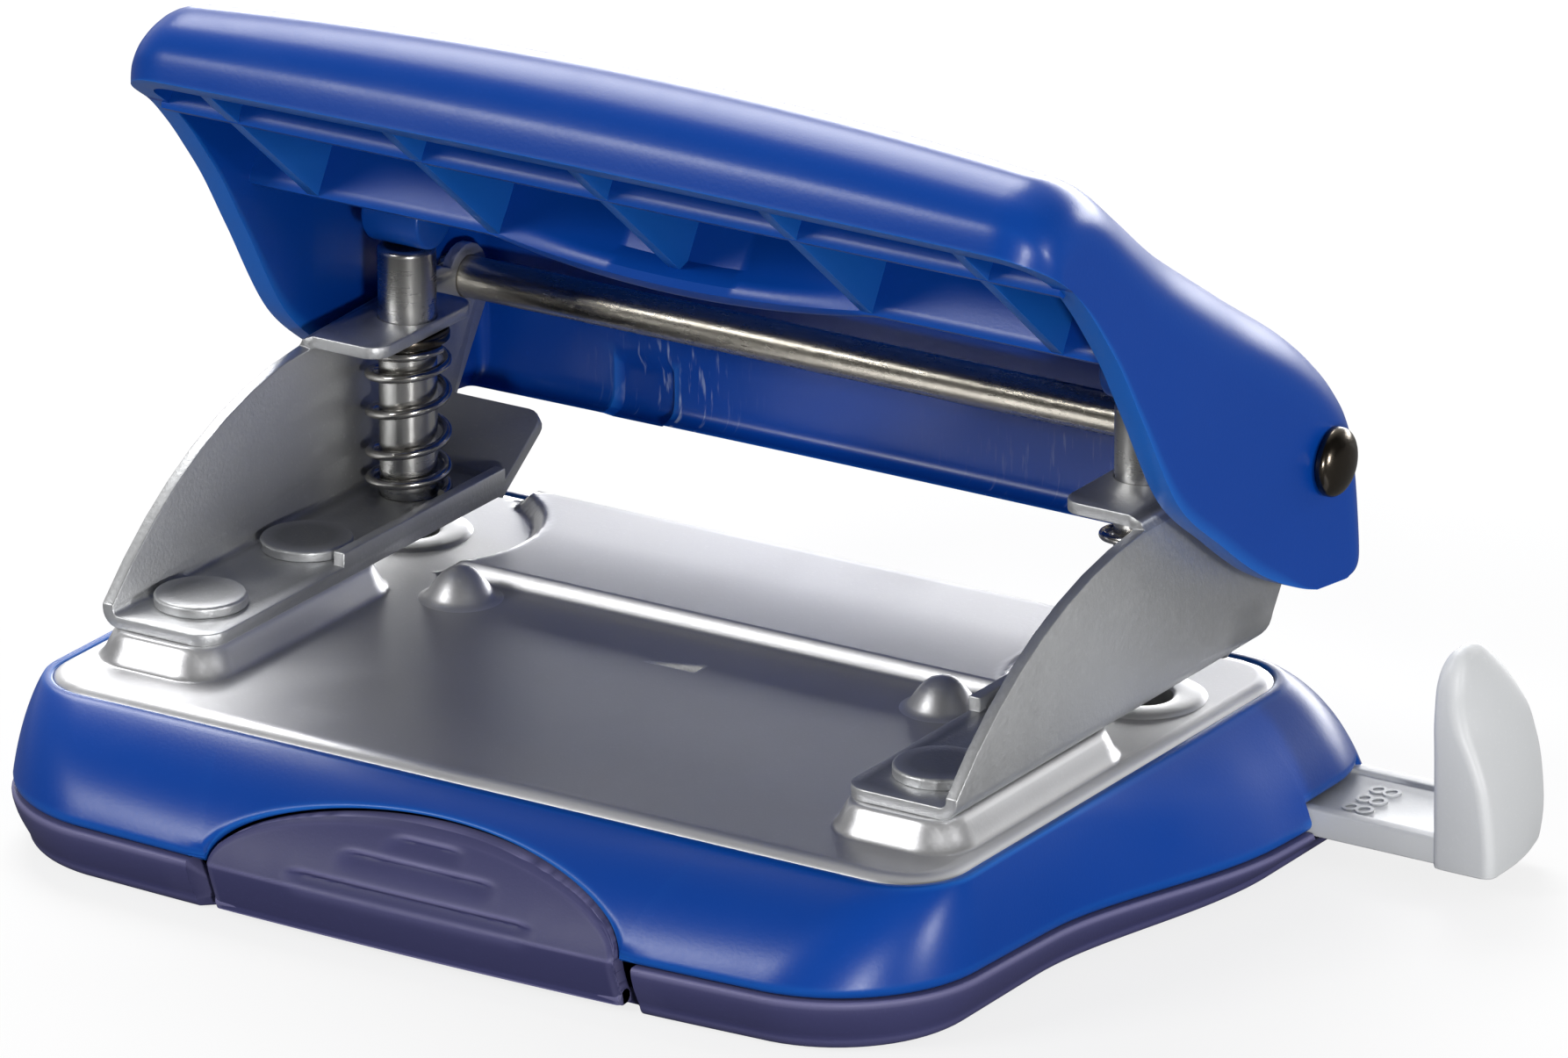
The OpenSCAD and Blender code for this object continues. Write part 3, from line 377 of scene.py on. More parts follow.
def turned(profile, steps=64, bored=False):
    """Points and faces of a profile of (radius, height) swept round Z; it starts and ends on the axis.

    A bored piece leaves its axis open: the second and the last but one point join up instead."""
    angles = np.linspace(0, 2 * math.pi, steps, endpoint=False)
    inner = profile[1:-1]
    points = [(r * c, r * s, z) for r, z in inner for c, s in zip(np.cos(angles), np.sin(angles))]
    faces = quads(len(inner), steps, wrap_rows=bored, wrap_columns=True)
    if not bored:
        first, top = len(points), (len(inner) - 1) * steps
        points += [(0, 0, profile[0][1]), (0, 0, profile[-1][1])]
        for j in range(steps):
            k = (j + 1) % steps
            faces += [(first, k, j), (first + 1, top + j, top + k)]
    return np.array(points), faces


def bow(centre, radius, start, end, count=6):
    """Points of an arc, angles in degrees."""
    return [(centre[0] + radius * math.cos(a), centre[1] + radius * math.sin(a))
            for a in np.radians(np.linspace(start, end, count))]


def quarter(count):
    return np.linspace(0, math.pi / 2, count)


def at_height(plan, z):
    return np.column_stack([plan, np.broadcast_to(z, (len(plan),))])


def smooth(t):
    t = np.clip(t, 0, 1)
    return t * t * (3 - 2 * t)


def mix(a, b, t):
    return a + (b - a) * t


print("a turned cone has", len(turned([(0, 0), (1, 0), (0, 1)])[1]), "faces")

# %% [markdown]
# Every piece starts the same way: its points are merged and its faces turned outwards, and where it needs it
# its sharp edges are eased. Modifiers are made part of the mesh on the way, so what is left is plain
# geometry.

# %% Plain meshes
MERGE_M, SLIVER_M = 1e-6, 1e-7


def merged(mesh, near=MERGE_M):
    shape = bmesh.new()
    shape.from_mesh(mesh)
    bmesh.ops.remove_doubles(shape, verts=shape.verts, dist=near)
    return shape


def keep(shape, name):
    """An object from an edited shape, its faces turned outwards."""
    bmesh.ops.recalc_face_normals(shape, faces=shape.faces)
    mesh = bpy.data.meshes.new(name)
    shape.to_mesh(mesh)
    shape.free()
    return stand(name, mesh)


def raw(name, points, faces):
    """A merged piece from points in millimetres."""
    draft = bpy.data.meshes.new("draft")
    draft.from_pydata((np.asarray(points, dtype=float) * MM).tolist(), [], faces)
    shape = merged(draft)
    bpy.data.meshes.remove(draft)
    bmesh.ops.dissolve_degenerate(shape, dist=SLIVER_M, edges=shape.edges)
    return keep(shape, name)


def settle(piece):
    """Makes the modifiers' result the piece's own plain mesh."""
    bpy.context.view_layer.update()
    graph = bpy.context.evaluated_depsgraph_get()
    mesh = bpy.data.meshes.new_from_object(piece.evaluated_get(graph), depsgraph=graph)
    piece.modifiers.clear()
    piece.data = mesh
    return piece


def soften(piece, width, segments=3, angle=50):
    """Rounds the piece's sharp edges by width millimetres."""
    bevel = piece.modifiers.new("soften", "BEVEL")
    bevel.width, bevel.segments = width * MM, segments
    bevel.limit_method = "ANGLE"
    bevel.angle_limit = math.radians(angle)
    return settle(piece)


print("points nearer than", MERGE_M / MM, "mm are merged")

# %% [markdown]
# A finished piece is dressed: it gets smooth shading, its finish, the body it rides on, and the CAD node
# whose place it takes. Pale rims, a painted highlight that also stands for wear, could be painted by hand;
# here the turn of the surface from each point to its neighbours is measured instead and stored for the finish
# to read.

# %% Dressing
def values_of(items, label, width=3, kind=float):
    """One row of numbers for each vertex or edge of a mesh."""
    flat = np.empty(len(items) * width, dtype=kind)
    items.foreach_get(label, flat)
    return flat.reshape(-1, width)


def mark_edges(mesh, reach):
    """Stores how strongly the surface turns outwards at each point, as the attribute edge."""
    place, normal = values_of(mesh.vertices, "co"), values_of(mesh.vertices, "normal")
    a, b = values_of(mesh.edges, "vertices", 2, np.int64).T
    step = place[b] - place[a]
    long = np.maximum(np.linalg.norm(step, axis=1), 1e-9)
    turn = np.einsum("ij,ij->i", normal[b] - normal[a], step) / long ** 2
    bend = np.zeros(len(place))
    for end in (a, b):
        np.maximum.at(bend, end, turn)
    layer = mesh.attributes.new("edge", "FLOAT", "POINT")
    layer.data.foreach_set("value", np.clip(bend * reach * MM, 0, 1))


def dress(piece, material, body, stands_for=(), sharp=38, edge_reach=0.5):
    """Smooth shading, finish and body for a finished piece."""
    mesh = piece.data
    mesh.materials.clear()
    mesh.materials.append(material)
    mesh.shade_smooth()
    mesh.set_sharp_from_angle(angle=math.radians(sharp))
    mark_edges(mesh, edge_reach)
    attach(piece, body)
    if stands_for:
        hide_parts(*stands_for)
    print(piece.name, "-", len(mesh.polygons), "faces")
    return piece


# %% [markdown]
# The lever is one hollow blue moulding. Its back runs from the rear wall over a low saddle to the full grip
# and round the nose; across, it is slightly crowned with round shoulders. A subdivision cage would do for
# such a form, but the CAD model already gives its rule, a chain of side points and a crown radius. So the
# same rule is drawn here with many more rings. First come the two lines of the side view: along u towards
# the nose and w above the rod, tilted as the lever stands.

# %% Lever lines
ROD_Y, ROD_Z, TILT = 17.3, 33.7, math.radians(31)
LEVER_HALF, LEVER_WALL, NOSE, TAIL = 49.3, 2.2, 63.6, 13.2
GRIP, SADDLE, LIP, CHEEK = 13.8, 11.6, 2.8, 12.4
CROWN, SHOULDER, HEEL, SPAN_STEPS = 470.0, 5.6, 3.0, 11


def flowing(control, steps):
    """A smooth curve through control points."""
    p = np.array(control, dtype=float)
    out = []
    for i in range(len(p) - 1):
        a, b, c, d = p[max(i - 1, 0)], p[i], p[i + 1], p[min(i + 2, len(p) - 1)]
        for t in np.arange(steps) / steps:
            out.append((2 * b + (c - a) * t + (2 * a - 5 * b + 4 * c - d) * t ** 2
                        + (3 * b - a - 3 * c + d) * t ** 3) / 2)
    return np.array(out + [p[-1]])


def lever_place(x, u, w):
    """World place of a point x across the lever, u towards its nose and w above the rod line."""
    return (x, ROD_Y - u * math.cos(TILT) + w * math.sin(TILT), ROD_Z + u * math.sin(TILT) + w * math.cos(TILT))


def lever_uw(y, z):
    """The other way round: u and w of a world place."""
    return ((ROD_Y - y) * math.cos(TILT) + (z - ROD_Z) * math.sin(TILT),
            (y - ROD_Y) * math.sin(TILT) + (z - ROD_Z) * math.cos(TILT))


back_line = flowing([(0.8 - TAIL, -7.6), (-TAIL, -4.8), (-TAIL / 2, 4.4), (-1.4, 8.6), (8, SADDLE - 0.6),
                     (22, SADDLE), (36, SADDLE + 0.5), (46, GRIP - 0.6), (NOSE - 9.6, GRIP),
                     (NOSE - 4, GRIP - 1.4), (NOSE - 1, mix(LIP, GRIP, 0.6)), (NOSE, mix(LIP, GRIP, 0.3)),
                     (NOSE - 0.6, LIP)], SPAN_STEPS)
belly_line = flowing([(-4.5, 1.2 - CHEEK), (-1.5, 0.6 - CHEEK), (3, 0.1 - CHEEK), (8, -CHEEK),
                      (15, 0.6 - CHEEK), (25, 2 - CHEEK), (35.5, -5.2), (42, -1.9), (47, 0.1), (49.5, 1),
                      (NOSE - 12.1, LIP - 1.2), (NOSE - 10.6, LIP - 0.8), (NOSE - 9.1, LIP - 0.5)], SPAN_STEPS)
along = np.linspace(0, 1, len(back_line))
depth_to_belly = np.linalg.norm(belly_line - back_line, axis=1)
inward = (belly_line - back_line) / depth_to_belly[:, None]
crown_share = mix(0.3, 1, smooth(along / 0.42)) * mix(1, 0.6, smooth((along - 0.7) / 0.3))
corner_radius = mix(HEEL, SHOULDER, smooth(along / 0.42))
print("rings along the lever:", len(back_line))

# %% [markdown]
# Each ring goes across the back, round the shoulder and down the cheek. An outer and an inner skin, a wall
# apart, are joined at the rims. A shallow recess is sunk into the inside of the back wall, and the skin
# beside it is marked as scuffed, where paper edges and fingers have rubbed.

# %% Lever shell
MARK_X, MARK_HALF, MARK_DEPTH, MARK_LOW, MARK_HIGH = -29.0, 3.0, 0.9, -9.5, -3.4
SCUFFS = ((-26.0, 5.0, 0.7), (17.0, 9.0, 0.22))  # x, spread and strength


def sag(i, x):
    return crown_share[i] * x * x / (2 * CROWN)


def half_section(i, wall):
    """From the middle outwards: x and depth below the back, for the outer skin or one a wall inside it."""
    edge = LEVER_HALF - corner_radius[i]
    tight = max(corner_radius[i] - wall, 0.3)
    mark_sides = [side * MARK_HALF - MARK_X + step for side in (-1, 1) for step in (-0.3, 0.3)]
    xs = np.unique(np.concatenate([np.linspace(0, 1, 25) * edge, mark_sides]))
    rows = [(x, wall + sag(i, x)) for x in xs if x < edge - 1e-6]
    low = wall + sag(i, edge)
    side = LEVER_HALF - wall
    rows += [(edge + (side - edge) * math.sin(a), low + tight * (1 - math.cos(a))) for a in quarter(11)]
    return rows + [(side, mix(low + tight, depth_to_belly[i], t)) for t in np.linspace(0, 1, 13)[1:]]


def section(i, wall):
    half = half_section(i, wall)
    points = []
    for x, d in [(-x, d) for x, d in half[:0:-1]] + half:
        u, w = back_line[i] + inward[i] * d
        if wall and abs(x - MARK_X) < MARK_HALF and u < 0 and MARK_LOW < w < MARK_HIGH:
            u -= MARK_DEPTH
        points.append(lever_place(x, u, w))
    return points


rings = [section(i, 0) + section(i, LEVER_WALL)[::-1] for i in range(len(back_line))]
girth = len(rings[0])
faces = quads(len(rings), girth, wrap_columns=True)
for i in (0, len(rings) - 1):
    for k in range(girth // 2 - 1):
        strip = (k, k + 1, girth - 2 - k, girth - 1 - k)
        faces.append(tuple(i * girth + v for v in (strip if i else strip[::-1])))
lever = soften(raw("lever_shell", np.concatenate(rings), faces), 0.7)
scuff = lever.data.attributes.new("scuff", "FLOAT", "POINT")
for v in lever.data.vertices:
    x, y, z = v.co / MM
    u, w = lever_uw(y, z)
    if u < -4 and w < -1.5 and v.normal.y < -0.2:
        scuff.data[v.index].value = sum(much * math.exp(-((x - at) / wide) ** 2) for at, wide, much in SCUFFS)
dress(lever, BLUE, "lever", ["lever"], edge_reach=0.35)

# %% [markdown]
# Under the back, thin ribs run from the nose towards the rod. They are alike and evenly spaced, so one rib
# is drawn here, in the middle, and repeated in the next step. Those beside the middle have to sink with the
# crown: a vector attribute called lean says which way and how far each point of the rib goes, and it is
# zero along the straight lower edge.

# %% One rib
PITCH, RIB_COUNT, RIB_FRONT, RIB_REAR, RIB_END, RIB_ROOT = 20.0, 5, 53.5, 37.0, 27.0, 1.1
RIB_FOOT, RIB_CREST, FIRST_RING = 0.62, 0.75, 40  # half thicknesses, and the ring where the ribs may begin
crest_ring = [i for i in range(FIRST_RING + 1, len(back_line))
              if back_line[i][0] + inward[i][0] * RIB_ROOT > RIB_END]
crest = [tuple(back_line[i] + inward[i] * RIB_ROOT) for i in crest_ring]
hem = [(RIB_END, 8.6), (31, 4.0), (34, 0.9), (RIB_REAR, -1), (41, -0.35), (45, 0.31), (49, 0.96),
       (RIB_FRONT, 1.7), (57, 2.2), (NOSE - 2.8, 2.9)]
side_view = hem + crest[::-1]
thin = [RIB_FOOT] * len(hem) + [RIB_CREST] * len(crest)
points = [lever_place(side * t, u, w) for side in (-1, 1) for (u, w), t in zip(side_view, thin)]
ribs = raw("lever_ribs", points, capped(2, len(side_view)))
origin = np.array(lever_place(0, 0, 0))
lean = [np.zeros(3)] * len(hem)
lean += [(np.array(lever_place(0, *inward[i])) - origin) * crown_share[i] for i in crest_ring[::-1]]
layer = ribs.data.attributes.new("lean", "FLOAT_VECTOR", "POINT")
layer.data.foreach_set("vector", np.concatenate(lean + lean).ravel())
print("points of one rib:", len(points))

# %% [markdown]
# Geometry Nodes place the rib along a line of points, make the copies real, and then shift each point by
# its lean times the crown's fall at its distance from the middle. An Array modifier could repeat the rib
# too, but it could not bend the row to the crown.

# %% Row of ribs
def tree_with(name, **inputs):
    """A geometry tree, its inputs by name, and their identifiers for the modifier."""
    tree = bpy.data.node_groups.new(name, "GeometryNodeTree")
    tree.interface.new_socket("Geometry", in_out="INPUT", socket_type="NodeSocketGeometry")
    named = {label: tree.interface.new_socket(label.replace("_", " "), in_out="INPUT",
                                              socket_type="NodeSocket" + kind).identifier
             for label, kind in inputs.items()}
    tree.interface.new_socket("Geometry", in_out="OUTPUT", socket_type="NodeSocketGeometry")
    return tree, tree.nodes.new("NodeGroupInput").outputs, named


def give(tree, geometry, material):
    """Ends a geometry tree: the real copies get their material and go out."""
    done = add(tree, "GeometryNodeSetMaterial", Geometry=geometry, Material=material)
    add(tree, "NodeGroupOutput", Geometry=done)


def grow(piece, tree, named, **values):
    """Runs a geometry tree on a piece with its inputs set, and keeps the plain mesh."""
    modifier = piece.modifiers.new(tree.name, "NODES")
    modifier.node_group = tree
    for label, value in values.items():
        modifier[named[label]] = value
    return settle(piece)


tree, given, named = tree_with("rib_row", Count="Int", Spacing="Float", Crown_radius="Float")
half_row = maths(tree, "MULTIPLY", maths(tree, "SUBTRACT", given["Count"], 1.0), -0.5)
start = add(tree, "ShaderNodeCombineXYZ", X=maths(tree, "MULTIPLY", half_row, given["Spacing"]))
step = add(tree, "ShaderNodeCombineXYZ", X=given["Spacing"])
line = add(tree, "GeometryNodeMeshLine", Count=given["Count"], Start_Location=start, Offset=step)
row = add(tree, "GeometryNodeInstanceOnPoints", Points=line, Instance=given["Geometry"])
real = add(tree, "GeometryNodeRealizeInstances", Geometry=row)
across = add(tree, "ShaderNodeSeparateXYZ", Vector=add(tree, "GeometryNodeInputPosition"))
fall = maths(tree, "DIVIDE", maths(tree, "MULTIPLY", across, across),
             maths(tree, "MULTIPLY", given["Crown radius"], 2.0))
follow = tree.nodes.new("GeometryNodeInputNamedAttribute")
follow.data_type = "FLOAT_VECTOR"
follow.inputs["Name"].default_value = "lean"
shift = tree.nodes.new("ShaderNodeVectorMath")
shift.operation = "SCALE"
feed(tree, shift.inputs[0], follow.outputs["Attribute"])
feed(tree, shift.inputs["Scale"], fall)
give(tree, add(tree, "GeometryNodeSetPosition", Geometry=real, Offset=shift.outputs[0]), BLUE)
grow(ribs, tree, named, Count=RIB_COUNT, Spacing=PITCH * MM, Crown_radius=CROWN * MM)
dress(soften(ribs, 0.18, 2, 60), BLUE, "lever", edge_reach=0.12)

# %% [markdown]
# Two cross ribs tie the long ribs together. The front one is plain; the rear one hangs down in the middle
# as a glossy lens. Their tops have to end inside the lever's skin, so each column of points looks up the
# height of the skin over its own place.

# %% Cross ribs
ARCH, ARCH_HALF, LENS, RIB_INSET = 1.8, 20.5, 1.3, 1.4


def roof_height(x, u):
    """Height of the lever's skin, a root depth inside it, over the place x, u."""
    best = -99.0
    line = []
    for i in range(FIRST_RING, len(back_line)):
        edge, tight = LEVER_HALF - corner_radius[i], corner_radius[i] - RIB_ROOT
        bend = min(max(abs(x) - edge, 0) / tight, 1.0)
        depth = RIB_ROOT + sag(i, min(abs(x), edge)) + tight * (1 - math.sqrt(1 - bend * bend))
        line.append(back_line[i] + inward[i] * depth)
    for a, b in zip(line, line[1:]):
        if (a[0] - u) * (b[0] - u) <= 0 and a[0] != b[0]:
            best = max(best, mix(a[1], b[1], (u - a[0]) / (b[0] - a[0])))
    return best


for name, u, foot, arch in (("lever_rib_front", RIB_FRONT, 1.7, 0), ("lever_rib_rear", RIB_REAR, -1.0, ARCH)):
    columns = []
    for x in np.linspace(RIB_INSET - LEVER_HALF, LEVER_HALF - RIB_INSET, 97):
        bulge = max(0.0, 1 - (x / ARCH_HALF) ** 2) if arch else 0.0
        low, fat = foot - arch * bulge, RIB_FOOT + LENS * bulge
        half = [(0.4, low), (mix(0.6, fat, 0.75), low + 0.3), (fat, low + 1.1),
                (mix(0.65, fat, 0.7), low + 2.1), (0.66, low + 3.1),
                (RIB_CREST, max(roof_height(x, u), low + 3.4))]
        columns.append([lever_place(x, u + o, w) for o, w in half + [(-o, w) for o, w in half[::-1]]])
    piece = raw(name, np.concatenate(columns), capped(len(columns), len(columns[0])))
    dress(piece, BLUE, "lever", edge_reach=0.12)

# %% [markdown]
# Two bosses under the back press the punches down. Each is a block with a round foot that rolls on the
# head of its punch, so its profile is a half circle with straight sides up into the ribs' roots.

# %% Bosses
BOSS_R, BOSS_W, BOSS_GAP, PUNCH_X, PUNCH_TOP = 3.0, 6.4, 0.1, 40.0, 42.9
boss_u, boss_w = lever_uw(0, PUNCH_TOP + BOSS_GAP + BOSS_R)
profile = bow((boss_u, boss_w), BOSS_R, 180, 360, 25) + [(boss_u + BOSS_R, 9.3), (boss_u - BOSS_R, 9.0)]
SIDES = (("left", -1), ("right", 1))
for side, sign in SIDES:
    points = [lever_place(sign * PUNCH_X + s * BOSS_W / 2, u, w) for s in (-1, 1) for u, w in profile]
    boss = soften(raw(f"boss_{side}", points, capped(2, len(profile))), 0.35)
    dress(boss, BLUE, "lever", edge_reach=0.12)

# %% [markdown]
# The base is a blue shell round the plate. Its side swells from the narrow rim to the parting line, so
# every level of it is one outline with other measures: straight front, round corners, sides that flare to
# the rear. All levels have the same columns of points, set close where an opening will need them.

# %% Base outlines
PLATE_HALF, PLATE_FRONT, PLATE_REAR, PLATE_CORNER = 48.2, 50.2, 14.0, 6.0
DECK, ROLL, SHEET = 14.5, 1.8, 1.2
FRONT_HALF, REAR_HALF, BASE_FRONT, BASE_REAR = 50.6, 56.0, 61.0, 22.6
CORNER, BASE_HEEL, FRONT_BOW, WALL = 15.0, 12.0, 1.0, 2.0
RIM_Z, LEDGE_Z = DECK - 0.4, DECK - SHEET - ROLL / 2
PART_FRONT, PART_REAR = 5.3, 2.9
FLAP_HALF, FLAP_TOP, FLAP_GAP, SLIT = 21.8, 11.8, 0.35, 0.9
FLARE = (CORNER - 41.6 - BASE_HEEL / 2, BASE_REAR - 2 * BASE_HEEL)
GUIDE_Y, GUIDE_W, GUIDE_Z, GUIDE_T, GUIDE_GAP = 4.2, 12.4, 2.7, 2.6, 0.2
WAY = (GUIDE_Y - GUIDE_GAP, GUIDE_Y + GUIDE_W + GUIDE_GAP)

moon = (FLAP_HALF + FLAP_GAP) / (FRONT_HALF - CORNER)
half_fronts = np.concatenate([moon * np.sin(quarter(33)), np.linspace(moon, 1, 9)[1:]])
front_shares = np.concatenate([-half_fronts[:0:-1], half_fronts])
side_start, side_end = FRONT_BOW - BASE_FRONT + CORNER, BASE_REAR - BASE_HEEL
way_shares = [(WAY[0] + step - side_start) / (side_end - side_start) for step in (-0.08, 0.08)]
side_shares = np.unique(np.concatenate([np.linspace(0, 1, 41)[1:-1], way_shares]))
front_angles = np.radians(np.linspace(-90, 0, 19)[1:])
rear_angles = np.radians(np.unique(np.concatenate([np.linspace(0, 90, 17), [30.8, 31.6]])))
rear_shares = np.linspace(1, -1, 21)[1:-1]


def outline(front_half, rear_half, front, rear, corner, heel, bow_depth):
    """Points round the base or the plate, one for each column, starting at the front left."""
    y0, y1 = bow_depth - front + corner, rear - heel
    front_points = [(c * (front_half - corner), -front + bow_depth * c * c) for c in front_shares]
    right = [(front_half - corner + corner * math.cos(a), y0 + corner * math.sin(a)) for a in front_angles]
    for y in mix(y0, y1, side_shares):
        right.append((mix(front_half, rear_half, float(smooth((y - FLARE[0]) / (FLARE[1] - FLARE[0])))), y))
    right += [(rear_half - heel + heel * math.cos(a), y1 + heel * math.sin(a)) for a in rear_angles]
    back = [(c * (rear_half - heel), rear) for c in rear_shares]
    return np.array(front_points + right + back + [(-x, y) for x, y in right[::-1]])


def base_outline(d):
    return outline(FRONT_HALF - d, REAR_HALF - d, BASE_FRONT - d, BASE_REAR - d, CORNER - d, BASE_HEEL - d,
                   FRONT_BOW)


def plate_outline(d):
    return outline(PLATE_HALF + d, PLATE_HALF + d, PLATE_FRONT + d, PLATE_REAR + d, PLATE_CORNER + d,
                   PLATE_CORNER + d, 0)


columns_foot = base_outline(0)
foot_x, foot_y = columns_foot.T
at_front = foot_y < -40
at_way = (foot_x > 0) & (foot_y > WAY[0]) & (foot_y < WAY[1])
print("columns round the base:", len(columns_foot))

# %% [markdown]
# At the front the housing leaves a half-moon open for the chip flap, and on the right a way for the guide.
# Cutting them with a Boolean would leave a hard edge; instead each upright column of points simply stops
# at the opening's edge. Where that is comes from halving the column again and again.

# %% Housing columns
def part_z(y):
    return mix(PART_FRONT, PART_REAR, smooth((y + BASE_FRONT) / (BASE_FRONT + BASE_REAR)))


def swell(s):
    """How far the side has come outwards and downwards at s, from the rim, 0, to the parting line, 1."""
    return (s + np.sin(np.pi / 2 * s)) / 2, (s + 1 - np.cos(np.pi / 2 * s)) / 2


def side_point(s, d):
    """Points of the housing's side on every column at s, a depth d inside its skin."""
    out, down = swell(np.broadcast_to(np.asarray(s, dtype=float), (len(columns_foot),)))
    place = mix(plate_outline(1.0 - d), base_outline(d), out[:, None])
    return at_height(place, mix(RIM_Z, part_z(place[:, 1]), down))


def moon_z(x, grow):
    t = np.clip(1 - (x / (FLAP_HALF + grow)) ** 2, 0, None)
    return np.where(np.abs(x) < FLAP_HALF + grow, PART_FRONT + (FLAP_TOP + grow - PART_FRONT) * np.sqrt(t), -1)


low, high = np.zeros(len(columns_foot)), np.ones(len(columns_foot))
for _ in range(40):
    middle = (low + high) / 2
    p = side_point(middle, 0)
    limit = np.where(at_front, moon_z(p[:, 0], FLAP_GAP), -1)
    above = p[:, 2] > np.where(at_way, GUIDE_Z + GUIDE_T + GUIDE_GAP, limit)
    low, high = np.where(above, middle, low), np.where(above, high, middle)
ends = np.where(at_front | at_way, low, 1.0)
print("columns cut short:", int((ends < 1).sum()))

# %% [markdown]
# The shell itself is a loft of those columns: up the ledge, over the rim, down the outside, round the lower
# edge and back up inside. Near an opening the outer skin bends inwards by a small arc, which rounds the
# edge all the way along.

# %% Base housing
EDGE_ROUND, RIM_ROUND, LEDGE_W, LEDGE_T = 1.2, 0.25, 2.4, 1.5


def level(d, z):
    return at_height(plate_outline(d), z)


lower_edge = side_point(ends, 0)
moon_edge = lower_edge[at_front & (np.abs(foot_x) < FLAP_HALF + 1)]
rings = [level(0.1, LEDGE_Z), level(0.1, RIM_Z - RIM_ROUND)]
rings += [level(0.35 - RIM_ROUND * math.cos(a), RIM_Z - RIM_ROUND + RIM_ROUND * math.sin(a))
          for a in np.radians((30, 60, 90))]
rings += [level(0.6, RIM_Z), level(0.85, RIM_Z)]
for s in np.concatenate([np.linspace(0.02, 0.82, 24), 0.82 + 0.18 * np.sin(quarter(16)[1:])]):
    outer, inner = side_point(ends * s, 0), side_point(ends * s, WALL)
    gap = np.linalg.norm(outer - lower_edge, axis=1)
    gap = np.minimum(gap, np.linalg.norm(outer[:, None] - moon_edge[None], axis=2).min(axis=1))
    turn = 1 - np.clip(gap / EDGE_ROUND, 0, 1)
    rings.append(mix(outer, inner, (EDGE_ROUND * (1 - np.sqrt(1 - turn ** 2)) / WALL)[:, None]))
rings.append(side_point(ends, WALL - 0.2))
rings += [side_point(ends * s, WALL) for s in (0.98, 0.8, 0.6, 0.45)]
rings += [level(-LEDGE_W, LEDGE_Z - LEDGE_T), level(-LEDGE_W, LEDGE_Z)]
housing = raw("base_housing_shell", np.concatenate(rings), quads(len(rings), len(ends), True, True))
dress(housing, BLUE, "base", ["base_housing"], edge_reach=0.35)

# %% [markdown]
# Under the parting line sits the violet bottom cover, a shallow tray with a rounded lower edge. It opens at
# the front, between two slits, where the flap hangs. Its rings follow the same outline; in the gap they
# drop to the floor's height and step back.

# %% Bottom cover
DRAW, COVER_EDGE, COVER_FLOOR, COVER_RIM = 1.5, 1.2, 1.5, 0.3
GAP_BACK = -56.65
cover_gap = at_front & (np.abs(foot_x) < FLAP_HALF + SLIT)


def cover_ring(d, z):
    p = at_height(base_outline(d), z)
    p[at_way, 2] = np.minimum(p[at_way, 2], GUIDE_Z - GUIDE_GAP)
    p[cover_gap, 2] = np.minimum(p[cover_gap, 2], COVER_FLOOR)
    p[cover_gap, 1] = GAP_BACK
    return p


rim_line = part_z(foot_y) - 0.1
rings = [cover_ring(DRAW + COVER_EDGE * (1 - math.sin(a)), COVER_EDGE * (1 - math.cos(a))) for a in quarter(8)]
rings += [cover_ring(DRAW * (1 - s) ** 1.5, mix(COVER_EDGE, rim_line - COVER_RIM, s))
          for s in np.linspace(0, 1, 9)[1:]]
rings += [cover_ring(COVER_RIM * (1 - math.cos(a)), rim_line - COVER_RIM * (1 - math.sin(a)))
          for a in quarter(5)[1:]]
rings += [cover_ring(WALL, rim_line), cover_ring(DRAW + WALL, COVER_FLOOR)]
cover = raw("bottom_cover_tray", np.concatenate(rings), capped(len(rings), len(columns_foot)))
dress(cover, VIOLET, "base", ["bottom_cover"], edge_reach=0.3)

# %% [markdown]
# The chip flap fills the half-moon. It carries on the housing's swell above the parting line and the
# cover's slope below it, and three shallow finger grooves cross it. A net of points over the half-moon
# takes the surface's height, the grooves and the rounded edge from formulas.

# %% Chip flap
FLAP_T, FLAP_ROUND, FLAP_FOOT, FLAP_SUNK = 1.8, 0.6, 0.6, 0.12
GROOVES = ((6.2, 13.6), (8.6, 8.9), (10.3, 4.6))  # height and half length
GROOVE_DEEP, GROOVE_FADE, GROOVE_ABOVE, GROOVE_BELOW = 0.62, 2.6, 0.35, 0.95


def front_skin(x, z):
    """Y of the base's front surface at a place x and a height z."""
    foot = -BASE_FRONT + FRONT_BOW * (x / (FRONT_HALF - CORNER)) ** 2
    out, down = swell(np.linspace(0, 1, 200))
    upper = np.interp(z, mix(RIM_Z, PART_FRONT, down)[::-1], out[::-1])
    lower = foot + DRAW * np.clip((PART_FRONT - z) / (PART_FRONT - COVER_EDGE), 0, 1) ** 1.2
    return np.where(z >= PART_FRONT, mix(-PLATE_FRONT - 1.0, foot, upper), lower)


half_xs = np.concatenate([np.linspace(0, 20, 61), 20 + 1.8 * (1 - (1 - np.linspace(0, 1, 15)[1:]) ** 2)])
flap_xs = np.concatenate([-half_xs[:0:-1], half_xs])
levels = np.concatenate([np.linspace(0, 0.03, 4)[:-1], np.linspace(0.03, 0.95, 70)[:-1],
                         np.linspace(0.95, 1, 12)])
X = np.repeat(flap_xs[None, :], len(levels), axis=0)
Z = FLAP_FOOT + (np.maximum(moon_z(flap_xs, 0), PART_FRONT)[None, :] - FLAP_FOOT) * levels[:, None]
arc_x = FLAP_HALF * np.sin(np.radians(np.linspace(-90, 90, 200)))
sides = np.linspace(PART_FRONT, FLAP_FOOT, 40)
rim_x = np.concatenate([arc_x, np.full(40, FLAP_HALF), np.full(40, -FLAP_HALF)])
rim_z = np.concatenate([np.maximum(moon_z(arc_x, 0), PART_FRONT), sides, sides])
